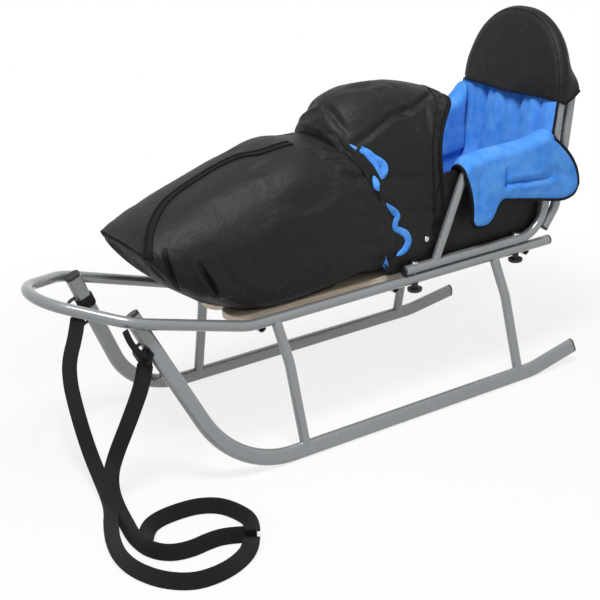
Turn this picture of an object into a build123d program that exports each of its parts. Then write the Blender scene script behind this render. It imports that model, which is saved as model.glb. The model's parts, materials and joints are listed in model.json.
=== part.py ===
from build123d import *
from math import atan2, cos, hypot, pi, radians, sin, tan
import os

# Child's steel tube sled with a bolted backrest frame, a padded muff and a tow strap.
# Millimetres. +X is forward to the bow, +Y the sled's left, +Z up, z = 0 the snow or floor.

os.makedirs("parts", exist_ok=True)

# Runners: flat oval tube, bent in one plane that leans inwards
RUNNER_GAUGE_HALF = 190
RUNNER_LEAN = 15
RUNNER_DEPTH = 28
RUNNER_THICKNESS = 16
RUNNER_WALL = 1.5
RUNNER_REAR_X = -458
RUNNER_KICK_X = -356
RUNNER_KICK_ANGLE = 10
RUNNER_KICK_RADIUS = 150
RUNNER_RAKE_X = 285
RUNNER_RAKE_ANGLE = 67
RUNNER_RAKE_RADIUS = 165
RUNNER_PAST_BOW = 5

# Top loop: two seat rails and the rising bow, one round tube
RAIL_DIAMETER = 19
RAIL_WALL = 1.5
RAIL_HALF_SPACING = 126
RAIL_Z = 233
RAIL_REAR_X = -446
KINK_X = 209
KINK_RADIUS = 120
BOW_RISE_ANGLE = 17
BOW_SIDE_LENGTH = 223
BOW_NOSE_LENGTH = 109.5
BOW_NOSE_HALF_WIDTH = 43
BOW_SHOULDER_RADIUS = 70
BOW_NOSE_RADIUS = 90
BOW_SIDE_EXTRA = 3.9

# Legs between runners and rails
LEG_DIAMETER = 18
LEG_WALL = 1.5
LEG_FRONT_X = 150
LEG_REAR_X = -322
LEG_KNEE_HEIGHT = 150
LEG_KNEE_RADIUS = 150
LEG_TOP_SHIFT = 8

# Cross tubes and wooden slats
CROSS_TUBE_DIAMETER = 16
CROSS_TUBE_WALL = 1.5
CROSS_TUBE_FRONT_X = 184
CROSS_TUBE_MIDDLE_X = -92
CROSS_TUBE_REAR_X = -394
SLAT_RAIL_GAP = 11.5
SLAT_GAP = 6
SLAT_THICKNESS = 12
SLAT_TOP_Z = 243
SLAT_FRONT_X = 222
SLAT_REAR_X = -432
SLAT_END_RADIUS = 28
SLAT_EDGE_RADIUS = 3

# Backrest hoop: foot tubes on the rails, posts and a round top, one tube
HOOP_DIAMETER = 18
HOOP_WALL = 1.5
HOOP_FRONT_X = -112
HOOP_BEND_X = -427
HOOP_BEND_RADIUS = 60
HOOP_LEAN = 10.5
HOOP_TOP_Z = 636
HOOP_SHOULDER_DROP = 88
HOOP_CROWN_HALF_WIDTH = 52
HOOP_SHOULDER_RADIUS = 170
HOOP_CROWN_RADIUS = 105
HOOP_SHOULDER_RUN_SHARE = 0.56
HOOP_CROWN_RUN_SHARE = 0.43

# Push hoop behind the backrest hoop
PUSH_DIAMETER = 18
PUSH_WALL = 1.5
PUSH_FOOT_X = -437
PUSH_FOOT_Z = 261
PUSH_BEND_X = -465
PUSH_BEND_Z = 297
PUSH_BEND_RADIUS = 45
PUSH_LEAN = 9
PUSH_TOP_Z = 566
PUSH_CORNER_RADIUS = 72

# Arm tubes from the foot tubes up and back to the posts
ARM_DIAMETER = 16
ARM_WALL = 1.5
ARM_FOOT_X = -178
ARM_FRONT_X = -254
ARM_FRONT_Z = 418
ARM_REAR_Z = 428
ARM_BEND_RADIUS = 40

# Spacers between the two hoops
SPACER_DIAMETER = 10
SPACER_LOW_Z = 345
SPACER_HIGH_Z = 505

# End plugs and caps of black plastic
PLUG_HEAD = 4
PLUG_STEM = 16
PLUG_EDGE = 1.5
CAP_HEAD = 6

# Clamp bolts with hand knobs
BOLT_DIAMETER = 6
BOLT_HOLE_CLEARANCE = 0.6
BOLT_HEAD_DIAMETER = 13
BOLT_HEAD_HEIGHT = 4
BOLT_FRONT_X = -133
BOLT_REAR_X = -368
KNOB_BOSS_DIAMETER = 12
KNOB_BOSS_HEIGHT = 9
KNOB_FLANGE_DIAMETER = 27
KNOB_FLANGE_HEIGHT = 6
KNOB_CAP_HEIGHT = 3

# Wire eyes for the tow strap, welded on the front edge of each runner
EYE_WIRE_DIAMETER = 6
EYE_BELOW_TIP = 42
EYE_LENGTH = 62
EYE_STANDOFF = 16
EYE_BEND_RADIUS = 9

# Webbing tow strap, its hitches on the runners and its sewn tab on the floor
STRAP_CORE_DIAMETER = 8
STRAP_THICKNESS = 2
STRAP_ARC_SHARE = 0.45
STRAP_LAST_RUN = 30
HITCH_BELOW_EYE = 18
HITCH_WIDTH = 24
KNOT_REACH = 20
KNOT_OFFSET = 13
KNOT_RADIUS = 11
KNOT_COLLAR = 4
HANG_ANGLE = 14
TAB_X = 363
TAB_Y = 366
TAB_ANGLE = 58
TAB_LENGTH = 16
TAB_HEIGHT = 26

# Foot bag: a hollow padded bag open to the rear
# Section columns, all shares: station, half width, floor and top height, corner of the height
BAG_WALL = 9
BAG_REAR_X = -112
BAG_LENGTH = 485
BAG_PAST_RAIL = 1
BAG_HEIGHT = 267
BAG_REAR_TOP_X = -36
BAG_REAR_FOOT_X = -98
BAG_SECTION_SHARES = [
    (0, 0.96, 0, 0.946, 0.2),
    (0.371, 1, 0, 1, 0.232),
    (0.66, 0.968, 0.015, 0.864, 0.248),
    (0.866, 0.835, 0.295, 0.722, 0.37),
    (1, 0.614, 0.497, 0.624, 0.41),
]

# Lap cover: an arched padded shell that carries on from the bag, open below
# Section columns, all shares: station, top height, corner of the half width
COVER_WALL = 9
COVER_REAR_X = -307
COVER_LENGTH = 300
COVER_SIDE_GAP = 2
COVER_HEIGHT = 319
COVER_DROP = 120
COVER_REAR_TOP_X = -298
COVER_REAR_FOOT_X = -190
COVER_SECTION_SHARES = [
    (0, 0.806, 0.78),
    (0.517, 1, 0.87),
    (1, 0.768, 0.78),
]

# Side panels, seat pad and back pad
SIDE_THICKNESS = 9
SIDE_HEIGHT = 170
SIDE_REAR_X = -408
SEAT_PAD_SIDE_GAP = 3
SEAT_PAD_THICKNESS = 30
SEAT_PAD_FRONT_X = -106
SEAT_PAD_REAR_X = -394
SEAT_PAD_CORNER = 20
BACK_PAD_SIDE_GAP = 13
BACK_PAD_THICKNESS = 26
BACK_PAD_AHEAD = 15
BACK_PAD_FOOT = 40
BACK_PAD_TUCK = 36
BACK_PAD_CORNER = 40
PAD_EDGE = 8

# Wings folded over the arm tubes
# Outline columns, both shares: back from the front edge, up from the foot
WING_THICKNESS = 8.5
WING_FRONT_X = -236
WING_LENGTH = 272
WING_FOOT_Z = 300
WING_HEIGHT = 160
WING_CORNER = 16
WING_FOLD_RADIUS = 12
WING_SIDE_GAP = 1.5
WING_INNER_DROP = 60
WING_INNER_FRONT_X = -262
WING_INNER_REAR_X = -422
WING_FOLD_REAR_X = -446
WING_OUTLINE_SHARES = [
    (0, 1),
    (0.06, 0),
    (0.21, 0),
    (0.3, 0.26),
    (0.93, 0.08),
    (1, 0.3),
    (0.78, 1),
]

# Hood pocket over both hoops
HOOD_WALL = 4
HOOD_SIDE_GAP = 0.9
HOOD_HEIGHT = 165
HOOD_EDGE = 9

# Small values shared by all pieces
SEAT_CLEARANCE = 0.3
OVERRUN = 5


def file_name(text):
    """File and label name of one piece."""
    return text.replace(" ", "_")


def save(piece, text):
    """Label one finished piece and write it."""
    piece.label = file_name(text)
    export_step(piece, "parts/" + file_name(text) + ".step")


def round_tube(points, radii, diameter, wall):
    """Round tube along straight runs joined by tangent arcs."""
    with BuildPart(mode=Mode.PRIVATE) as tube:
        with BuildLine():
            path = FilletPolyline(*points, radius=radii) if radii else Line(*points)
        with BuildSketch(Plane(origin=path @ 0, z_dir=path % 0)):
            Circle(diameter / 2)
            if wall:
                Circle(diameter / 2 - wall, mode=Mode.SUBTRACT)
        sweep(path=path)
    return tube.part


def mirrored(points):
    """Points of one side followed by their mirror images, as one symmetric route."""
    return points + [(x, -y, z) for x, y, z in reversed(points)]


# Runner plane: heights are measured up its slope
rail_radius = RAIL_DIAMETER / 2
lean_cos = cos(radians(RUNNER_LEAN))
lean_sin = sin(radians(RUNNER_LEAN))
rake_cos = cos(radians(RUNNER_RAKE_ANGLE))
rake_sin = sin(radians(RUNNER_RAKE_ANGLE))
runner_round = RUNNER_THICKNESS / 2
runner_half_depth = RUNNER_DEPTH / 2
runner_z = (runner_half_depth - runner_round) * lean_cos + runner_round
bow_cos = cos(radians(BOW_RISE_ANGLE))
bow_sin = sin(radians(BOW_RISE_ANGLE))


def runner_point(x, height):
    """Point of the left runner's plane."""
    return (x, RUNNER_GAUGE_HALF - height * lean_sin, runner_z + height * lean_cos)


# Height at which the raked runner passes the rising bow, and the bow's width there
rake_run = rake_cos / rake_sin
bow_rise = bow_sin / bow_cos
cross_height = RAIL_Z - runner_z + (RUNNER_RAKE_X - KINK_X) * bow_rise
cross_height = cross_height / (lean_cos - rake_run * bow_rise)
cross_half_width = runner_point(0, cross_height)[1]
bow_half_width = cross_half_width + runner_round / lean_cos + rail_radius + BOW_SIDE_EXTRA


def bow_point(run, half_width):
    """Point of the rising bow, run millimetres past the kink."""
    return (KINK_X + run * bow_cos, half_width, RAIL_Z + run * bow_sin)


# Top loop
loop_side = [
    (RAIL_REAR_X, RAIL_HALF_SPACING, RAIL_Z),
    (KINK_X, RAIL_HALF_SPACING, RAIL_Z),
    bow_point(BOW_SIDE_LENGTH, bow_half_width),
    bow_point(BOW_SIDE_LENGTH + BOW_NOSE_LENGTH, BOW_NOSE_HALF_WIDTH),
]
loop_radii = [KINK_RADIUS, BOW_SHOULDER_RADIUS, BOW_NOSE_RADIUS]
loop_radii = loop_radii + loop_radii[::-1]
loop_solid = round_tube(mirrored(loop_side), loop_radii, RAIL_DIAMETER, 0)

bolt_places = [
    (x, side * RAIL_HALF_SPACING)
    for x in (BOLT_FRONT_X, BOLT_REAR_X)
    for side in (1, -1)
]
bolt_hole_radius = (BOLT_DIAMETER + BOLT_HOLE_CLEARANCE) / 2

with BuildPart() as top_loop:
    add(round_tube(mirrored(loop_side), loop_radii, RAIL_DIAMETER, RAIL_WALL))
    with Locations(*[(x, y, RAIL_Z) for x, y in bolt_places]):
        Cylinder(bolt_hole_radius, RAIL_DIAMETER + OVERRUN, mode=Mode.SUBTRACT)
save(top_loop.part, "top loop")

# Runners
tip_height = cross_height + RUNNER_PAST_BOW
runner_route = [
    runner_point(RUNNER_REAR_X, (RUNNER_KICK_X - RUNNER_REAR_X) * tan(radians(RUNNER_KICK_ANGLE))),
    runner_point(RUNNER_KICK_X, 0),
    runner_point(RUNNER_RAKE_X, 0),
    runner_point(RUNNER_RAKE_X + tip_height * rake_run, tip_height),
]
runner_radii = [RUNNER_KICK_RADIUS, RUNNER_RAKE_RADIUS]
runner_normal = (0, lean_cos, lean_sin)


def runner_tube(wall):
    """Left runner, solid when the wall is zero."""
    with BuildPart(mode=Mode.PRIVATE) as tube:
        with BuildLine():
            path = FilletPolyline(*runner_route, radius=runner_radii)
        with BuildSketch(Plane(origin=path @ 0, x_dir=runner_normal, z_dir=path % 0)):
            SlotOverall(RUNNER_DEPTH, RUNNER_THICKNESS, rotation=90)
            if wall:
                SlotOverall(
                    RUNNER_DEPTH - 2 * wall, RUNNER_THICKNESS - 2 * wall, rotation=90,
                    mode=Mode.SUBTRACT,
                )
        sweep(path=path)
    return tube.part, path


runner_solid, runner_path = runner_tube(0)
runner_hollow = runner_tube(RUNNER_WALL)[0]
print("runner path length", round(runner_path.length, 1))

with BuildPart() as runner_left:
    add(runner_hollow)
save(runner_left.part, "runner left")
with BuildPart() as runner_right:
    add(mirror(runner_left.part, about=Plane.XZ))
save(runner_right.part, "runner right")


def slot_plug(plane, head):
    """Plug that closes a flat oval tube: a head over its end and a stem in its bore."""
    with BuildPart(mode=Mode.PRIVATE) as plug:
        with BuildSketch(plane):
            SlotOverall(RUNNER_DEPTH, RUNNER_THICKNESS, rotation=90)
        extrude(amount=head)
        fillet(plug.faces().sort_by(Axis(plane.origin, plane.z_dir))[-1].edges(), PLUG_EDGE)
        with BuildSketch(plane):
            SlotOverall(
                RUNNER_DEPTH - 2 * RUNNER_WALL - 2 * SEAT_CLEARANCE,
                RUNNER_THICKNESS - 2 * RUNNER_WALL - 2 * SEAT_CLEARANCE, rotation=90,
            )
        extrude(amount=-PLUG_STEM)
    return plug.part


rear_plane = Plane(origin=runner_path @ 0, x_dir=runner_normal, z_dir=-(runner_path % 0))
tip_plane = Plane(origin=runner_path @ 1, x_dir=runner_normal, z_dir=runner_path % 1)
for text, plane, head in (("runner plug", rear_plane, PLUG_HEAD), ("runner cap", tip_plane, CAP_HEAD)):
    plug_solid = slot_plug(plane, head)
    save(plug_solid, text + " left")
    save(mirror(plug_solid, about=Plane.XZ), text + " right")


def round_plug(origin, direction, diameter, wall):
    """Plug that closes a round tube."""
    plane = Plane(origin=origin, z_dir=direction)
    with BuildPart(mode=Mode.PRIVATE) as plug:
        with BuildSketch(plane):
            Circle(diameter / 2)
        extrude(amount=PLUG_HEAD)
        fillet(plug.faces().sort_by(Axis(plane.origin, plane.z_dir))[-1].edges(), PLUG_EDGE)
        with BuildSketch(plane):
            Circle(diameter / 2 - wall - SEAT_CLEARANCE)
        extrude(amount=-PLUG_STEM)
    return plug.part


rail_plug = round_plug(loop_side[0], (-1, 0, 0), RAIL_DIAMETER, RAIL_WALL)
save(rail_plug, "rail plug left")
save(mirror(rail_plug, about=Plane.XZ), "rail plug right")

# Legs
leg_foot_height = runner_half_depth - runner_round


def leg(x):
    """Left leg, from the runner's upper edge to the underside of the rail."""
    points = [
        runner_point(x, leg_foot_height),
        runner_point(x, LEG_KNEE_HEIGHT),
        (x + LEG_TOP_SHIFT, RAIL_HALF_SPACING, RAIL_Z),
    ]
    with BuildPart(mode=Mode.PRIVATE) as tube:
        add(round_tube(points, [LEG_KNEE_RADIUS], LEG_DIAMETER, LEG_WALL))
        add(loop_solid, mode=Mode.SUBTRACT)
        add(runner_solid, mode=Mode.SUBTRACT)
    return tube.part.solids().sort_by(SortBy.VOLUME)[-1]


for text, x in (("leg front", LEG_FRONT_X), ("leg rear", LEG_REAR_X)):
    leg_solid = Part() + leg(x)
    save(leg_solid, text + " left")
    save(mirror(leg_solid, about=Plane.XZ), text + " right")

# Cross tubes under the slats
slat_bottom_z = SLAT_TOP_Z - SLAT_THICKNESS
cross_z = slat_bottom_z - CROSS_TUBE_DIAMETER / 2
cross_places = (
    ("cross tube front", CROSS_TUBE_FRONT_X),
    ("cross tube middle", CROSS_TUBE_MIDDLE_X),
    ("cross tube rear", CROSS_TUBE_REAR_X),
)
for text, x in cross_places:
    with BuildPart() as cross_tube:
        ends = [(x, -RAIL_HALF_SPACING, cross_z), (x, RAIL_HALF_SPACING, cross_z)]
        add(round_tube(ends, None, CROSS_TUBE_DIAMETER, CROSS_TUBE_WALL))
        add(loop_solid, mode=Mode.SUBTRACT)
    save(Part() + cross_tube.part.solids().sort_by(SortBy.VOLUME)[-1], text)

# Slats
slat_length = SLAT_FRONT_X - SLAT_REAR_X
slat_half_span = RAIL_HALF_SPACING - rail_radius - SLAT_RAIL_GAP
slat_width = (2 * slat_half_span - 2 * SLAT_GAP) / 3
slat_pitch = slat_width + SLAT_GAP
for text, step in (("slat left", 1), ("slat middle", 0), ("slat right", -1)):
    with BuildPart() as slat:
        with BuildSketch(Plane.XY.offset(slat_bottom_z)):
            with Locations(((SLAT_FRONT_X + SLAT_REAR_X) / 2, step * slat_pitch)):
                RectangleRounded(slat_length, slat_width, SLAT_END_RADIUS)
        extrude(amount=SLAT_THICKNESS)
        fillet(slat.faces().sort_by(Axis.Z)[-1].edges(), SLAT_EDGE_RADIUS)
    save(slat.part, text)

# Backrest hoop
hoop_radius = HOOP_DIAMETER / 2
HOOP_Z = RAIL_Z + rail_radius + hoop_radius
hoop_slope = tan(radians(HOOP_LEAN))
lean_cos_hoop = cos(radians(HOOP_LEAN))
lean_sin_hoop = sin(radians(HOOP_LEAN))
shoulder_inset = RAIL_HALF_SPACING - HOOP_CROWN_HALF_WIDTH
shoulder_drop = HOOP_SHOULDER_DROP / lean_cos_hoop
shoulder_run = hypot(shoulder_inset, shoulder_drop)
shoulder_rise = tan(atan2(shoulder_inset, shoulder_drop) / 2)
crown_reach = tan(atan2(shoulder_drop, shoulder_inset) / 2)
shoulder_radius = min(HOOP_SHOULDER_RADIUS, HOOP_SHOULDER_RUN_SHARE * shoulder_run / shoulder_rise)
crown_run = min(HOOP_CROWN_RUN_SHARE * shoulder_run, HOOP_CROWN_HALF_WIDTH)
crown_radius = min(HOOP_CROWN_RADIUS, crown_run / crown_reach)


def lean_point(half_width, z):
    """Point of the leaning plane that holds the posts and the round top."""
    return (HOOP_BEND_X - (z - HOOP_Z) * hoop_slope, half_width, z)


hoop_side = [
    (HOOP_FRONT_X, RAIL_HALF_SPACING, HOOP_Z),
    (HOOP_BEND_X, RAIL_HALF_SPACING, HOOP_Z),
    lean_point(RAIL_HALF_SPACING, HOOP_TOP_Z - HOOP_SHOULDER_DROP),
    lean_point(HOOP_CROWN_HALF_WIDTH, HOOP_TOP_Z),
]
hoop_radii = [HOOP_BEND_RADIUS, shoulder_radius, crown_radius]
hoop_radii = hoop_radii + hoop_radii[::-1]
hoop_solid = round_tube(mirrored(hoop_side), hoop_radii, HOOP_DIAMETER, 0)
with BuildPart() as backrest_hoop:
    add(round_tube(mirrored(hoop_side), hoop_radii, HOOP_DIAMETER, HOOP_WALL))
    with Locations(*[(x, y, HOOP_Z) for x, y in bolt_places]):
        Cylinder(bolt_hole_radius, HOOP_DIAMETER + OVERRUN, mode=Mode.SUBTRACT)
save(backrest_hoop.part, "backrest hoop")
hoop_plug = round_plug(hoop_side[0], (1, 0, 0), HOOP_DIAMETER, HOOP_WALL)
save(hoop_plug, "hoop plug left")
save(mirror(hoop_plug, about=Plane.XZ), "hoop plug right")

# Push hoop
push_slope = tan(radians(PUSH_LEAN))
push_foot = (PUSH_FOOT_X, RAIL_HALF_SPACING, PUSH_FOOT_Z)
push_top_x = PUSH_BEND_X - (PUSH_TOP_Z - PUSH_BEND_Z) * push_slope
push_side = [
    push_foot,
    (PUSH_BEND_X, RAIL_HALF_SPACING, PUSH_BEND_Z),
    (push_top_x, RAIL_HALF_SPACING, PUSH_TOP_Z),
]
push_radii = [PUSH_BEND_RADIUS, PUSH_CORNER_RADIUS, PUSH_CORNER_RADIUS, PUSH_BEND_RADIUS]
push_solid = round_tube(mirrored(push_side), push_radii, PUSH_DIAMETER, 0)
with BuildPart() as push_hoop:
    add(round_tube(mirrored(push_side), push_radii, PUSH_DIAMETER, PUSH_WALL))
save(push_hoop.part, "push hoop")
push_direction = Vector(*push_foot) - Vector(*push_side[1])
push_plug = round_plug(push_foot, push_direction, PUSH_DIAMETER, PUSH_WALL)
save(push_plug, "push plug left")
save(mirror(push_plug, about=Plane.XZ), "push plug right")

# Spacers that hold the push hoop to the posts
for text, z in (("hoop spacer low", SPACER_LOW_Z), ("hoop spacer high", SPACER_HIGH_Z)):
    front_x = lean_point(0, z)[0]
    rear_x = PUSH_BEND_X - (z - PUSH_BEND_Z) * push_slope
    with BuildPart() as spacer:
        ends = [(front_x, RAIL_HALF_SPACING, z), (rear_x, RAIL_HALF_SPACING, z)]
        add(round_tube(ends, None, SPACER_DIAMETER, 0))
        add(hoop_solid, mode=Mode.SUBTRACT)
        add(push_solid, mode=Mode.SUBTRACT)
    spacer_solid = Part() + spacer.part.solids().sort_by(SortBy.VOLUME)[-1]
    save(spacer_solid, text + " left")
    save(mirror(spacer_solid, about=Plane.XZ), text + " right")

# Arm tubes
arm_points = [
    (ARM_FOOT_X, RAIL_HALF_SPACING, HOOP_Z),
    (ARM_FRONT_X, RAIL_HALF_SPACING, ARM_FRONT_Z),
    lean_point(RAIL_HALF_SPACING, ARM_REAR_Z),
]
with BuildPart() as arm_tube:
    add(round_tube(arm_points, [ARM_BEND_RADIUS], ARM_DIAMETER, ARM_WALL))
    add(hoop_solid, mode=Mode.SUBTRACT)
arm_solid = Part() + arm_tube.part.solids().sort_by(SortBy.VOLUME)[-1]
save(arm_solid, "arm tube left")
save(mirror(arm_solid, about=Plane.XZ), "arm tube right")

# Clamp bolts and hand knobs
bolt_top_z = HOOP_Z + hoop_radius
bolt_bottom_z = RAIL_Z - rail_radius
knob_names = ("front left", "front right", "rear left", "rear right")
for (x, y), text in zip(bolt_places, knob_names):
    with BuildPart() as bolt:
        with BuildSketch(Plane.XY.offset(bolt_top_z)):
            with Locations((x, y)):
                Circle(BOLT_HEAD_DIAMETER / 2)
        extrude(amount=BOLT_HEAD_HEIGHT)
        fillet(bolt.faces().sort_by(Axis.Z)[-1].edges(), BOLT_HEAD_HEIGHT / 2)
        with BuildSketch(Plane.XY.offset(bolt_top_z)):
            with Locations((x, y)):
                Circle(BOLT_DIAMETER / 2)
        extrude(amount=bolt_bottom_z - bolt_top_z)
    save(bolt.part, "bolt " + text)
    with BuildPart() as knob:
        with BuildSketch(Plane.XY.offset(bolt_bottom_z)):
            with Locations((x, y)):
                Circle(KNOB_BOSS_DIAMETER / 2)
        extrude(amount=-KNOB_BOSS_HEIGHT)
        with BuildSketch(Plane.XY.offset(bolt_bottom_z - KNOB_BOSS_HEIGHT)):
            with Locations((x, y)):
                Circle(KNOB_FLANGE_DIAMETER / 2)
        extrude(amount=-KNOB_FLANGE_HEIGHT)
        fillet(knob.faces().sort_by(Axis.Z)[0].edges(), KNOB_CAP_HEIGHT)
    save(knob.part, "knob " + text)

# Wire eyes on the front edge of the rake
rake_direction = Vector(rake_cos, -rake_sin * lean_sin, rake_sin * lean_cos)
rake_outward = Vector(rake_sin, rake_cos * lean_sin, -rake_cos * lean_cos)
rake_axis_point = Vector(*runner_route[3])
eye_top = rake_axis_point - rake_direction * EYE_BELOW_TIP
eye_bottom = eye_top - rake_direction * EYE_LENGTH
eye_reach = runner_half_depth + EYE_STANDOFF
eye_points = [
    tuple(eye_top),
    tuple(eye_top + rake_outward * eye_reach),
    tuple(eye_bottom + rake_outward * eye_reach),
    tuple(eye_bottom),
]
with BuildPart() as tow_eye:
    add(round_tube(eye_points, [EYE_BEND_RADIUS, EYE_BEND_RADIUS], EYE_WIRE_DIAMETER, 0))
    add(runner_solid, mode=Mode.SUBTRACT)
eye_solid = Part() + tow_eye.part.solids().sort_by(SortBy.VOLUME)[-1]
save(eye_solid, "tow eye left")
save(mirror(eye_solid, about=Plane.XZ), "tow eye right")

# Strap hitches: a turn of webbing round the runner, knotted beside the eye wire
ring_centre = eye_top - rake_direction * HITCH_BELOW_EYE
ring_plane = Plane(
    origin=ring_centre - rake_direction * (HITCH_WIDTH / 2), x_dir=runner_normal,
    z_dir=rake_direction,
)
hang = Vector(sin(radians(HANG_ANGLE)), 0, -cos(radians(HANG_ANGLE)))
eye_clear = round_tube(
    eye_points, [EYE_BEND_RADIUS, EYE_BEND_RADIUS], EYE_WIRE_DIAMETER + 2 * SEAT_CLEARANCE, 0
)


def knot_centre(lateral):
    """Middle of the knot on the left runner: lateral 1 is its outer side, -1 its inner side."""
    return ring_centre + rake_outward * KNOT_REACH + Vector(*runner_normal) * (lateral * KNOT_OFFSET)


def hitch(lateral):
    """Hitch on the left runner."""
    with BuildPart(mode=Mode.PRIVATE) as turn:
        with BuildSketch(ring_plane):
            SlotOverall(
                RUNNER_DEPTH + 2 * (SEAT_CLEARANCE + STRAP_THICKNESS),
                RUNNER_THICKNESS + 2 * (SEAT_CLEARANCE + STRAP_THICKNESS), rotation=90,
            )
        extrude(amount=HITCH_WIDTH)
        with Locations(knot_centre(lateral)):
            Sphere(KNOT_RADIUS)
        with BuildSketch(Plane(origin=knot_centre(lateral), z_dir=hang)):
            Circle(STRAP_CORE_DIAMETER / 2)
        extrude(amount=KNOT_RADIUS + KNOT_COLLAR)
        with BuildSketch(ring_plane.offset(-OVERRUN)):
            SlotOverall(
                RUNNER_DEPTH + 2 * SEAT_CLEARANCE, RUNNER_THICKNESS + 2 * SEAT_CLEARANCE,
                rotation=90,
            )
        extrude(amount=HITCH_WIDTH + 2 * OVERRUN, mode=Mode.SUBTRACT)
        add(eye_clear, mode=Mode.SUBTRACT)
    return Part() + turn.part.solids().sort_by(SortBy.VOLUME)[-1]


save(hitch(1), "strap hitch left")
save(mirror(hitch(-1), about=Plane.XZ), "strap hitch right")

# Tow strap: each leg from its hitch to the sewn tab on the floor, and a hand loop
left_exit = knot_centre(1) + hang * (KNOT_RADIUS + KNOT_COLLAR)
right_exit = knot_centre(-1) + hang * (KNOT_RADIUS + KNOT_COLLAR)
right_exit = Vector(right_exit.X, -right_exit.Y, right_exit.Z)
tab_along = Vector(cos(radians(TAB_ANGLE)), sin(radians(TAB_ANGLE)), 0)
tab_across = Vector(sin(radians(TAB_ANGLE)), -cos(radians(TAB_ANGLE)), 0)
tab_centre = Vector(TAB_X, TAB_Y, TAB_HEIGHT / 2)
with BuildPart() as strap_tab:
    with BuildSketch(Plane(origin=(TAB_X, TAB_Y, 0), x_dir=tab_along, z_dir=(0, 0, 1))):
        Rectangle(TAB_LENGTH, TAB_LENGTH)
    extrude(amount=TAB_HEIGHT)
save(strap_tab.part, "strap tab")

half_tab = TAB_LENGTH / 2
left_route = [
    left_exit, left_exit + hang * STRAP_LAST_RUN, (429, 135, 152), (439, 129, 115),
    (449, 121, 80), (461, 124, 49), (476, 146, 29), (489, 180, 19), (501, 222, 14),
    (511, 268, 13), (508, 309, 13), (488, 338, 13), (456, 347, 13), (423, 343, 13),
    tab_centre + tab_across * (half_tab + STRAP_LAST_RUN), tab_centre + tab_across * half_tab,
]
right_route = [
    right_exit, right_exit + hang * STRAP_LAST_RUN, (433, -104, 154), (443, -77, 126),
    (449, -44, 98), (455, -8, 69), (462, 34, 42), (472, 81, 23), (485, 126, 14),
    (503, 168, 12), (525, 213, 13), (543, 260, 13), (552, 306, 13), (548, 350, 13),
    (529, 394, 13), (496, 425, 13), (457, 430, 13), (418, 421, 13),
    tab_centre + tab_along * (half_tab + STRAP_LAST_RUN), tab_centre + tab_along * half_tab,
]
hand_route = [
    tab_centre - tab_along * half_tab,
    tab_centre - tab_along * (half_tab + STRAP_LAST_RUN), (346, 298, 13),
    (359, 263, 13), (387, 243, 13), (423, 238, 13), (459, 241, 13), (486, 257, 13),
    (502, 286, 13),
]


def strap(route, text):
    """Round stand-in for the webbing: straight runs joined by the largest arcs they allow."""
    points = [Vector(*point) for point in route]
    radii = []
    for before, here, after in zip(points, points[1:], points[2:]):
        turn = radians((here - before).get_angle(after - here))
        shorter = min((here - before).length, (after - here).length)
        radii.append(STRAP_ARC_SHARE * shorter / tan(turn / 2))
    print(text, "radii", [round(radius) for radius in radii])
    tube = round_tube(points, radii, STRAP_CORE_DIAMETER, 0)
    length = Wire(FilletPolyline(*points, radius=radii, mode=Mode.PRIVATE).edges()).length
    section = pi * (STRAP_CORE_DIAMETER / 2) ** 2
    print(text, "length", round(length, 1), "volume over section", round(tube.volume / section, 1))
    for point in points[:2] + points[-2:]:
        print(text, "end point", [round(value, 1) for value in point])
    save(tube, text)


strap(left_route, "strap left")
strap(right_route, "strap right")
strap(hand_route, "strap hand loop")

# Foot bag
pad_floor_z = SLAT_TOP_Z + SEAT_CLEARANCE
bag_half_width = RAIL_HALF_SPACING + BAG_PAST_RAIL
cover_half_width = RAIL_HALF_SPACING - hoop_radius - COVER_SIDE_GAP
seat_pad_half_width = cover_half_width - SIDE_THICKNESS - SEAT_PAD_SIDE_GAP
back_pad_half_width = RAIL_HALF_SPACING - hoop_radius - BACK_PAD_SIDE_GAP


def slanted_cut(foot, top):
    """Plane across the sled through two points of the side view, its normal to the front."""
    return Plane(
        origin=(foot[0], 0, foot[1]), x_dir=(0, 1, 0),
        z_dir=(top[1] - foot[1], 0, foot[0] - top[0]),
    )


def bag_loft(inset):
    """Closed body of the bag, drawn in by an inset."""
    with BuildPart(mode=Mode.PRIVATE) as body:
        for station, width, floor, top, corner in BAG_SECTION_SHARES:
            centre = ((BAG_LENGTH - inset) * station + BAG_REAR_X, 0,
                      pad_floor_z + BAG_HEIGHT * (floor + top) / 2)
            height = BAG_HEIGHT * (top - floor) - 2 * inset
            with BuildSketch(Plane(origin=centre, x_dir=(0, 1, 0), z_dir=(1, 0, 0))):
                RectangleRounded(2 * (bag_half_width * width - inset), height, corner * height)
        loft(ruled=True)
    return body.part


bag_rear_foot = (BAG_REAR_FOOT_X, pad_floor_z)
bag_rear_top = (BAG_REAR_TOP_X, pad_floor_z + BAG_HEIGHT)
with BuildPart() as foot_bag:
    add(bag_loft(0))
    add(bag_loft(BAG_WALL), mode=Mode.SUBTRACT)
    split(bisect_by=slanted_cut(bag_rear_foot, bag_rear_top), keep=Keep.TOP)
save(foot_bag.part, "foot bag")

# Lap cover
cover_top_z = pad_floor_z + COVER_HEIGHT


def cover_loft(inset):
    """Closed body of the lap cover, drawn in by an inset and carried down past its floor."""
    with BuildPart(mode=Mode.PRIVATE) as body:
        for station, top, corner in COVER_SECTION_SHARES:
            height = COVER_HEIGHT * top + COVER_DROP - inset
            centre = (COVER_REAR_X + COVER_LENGTH * station, 0,
                      pad_floor_z - COVER_DROP + height / 2)
            half_width = cover_half_width - inset
            with BuildSketch(Plane(origin=centre, x_dir=(0, 1, 0), z_dir=(1, 0, 0))):
                RectangleRounded(2 * half_width, height, corner * half_width)
        loft()
    return body.part


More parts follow.
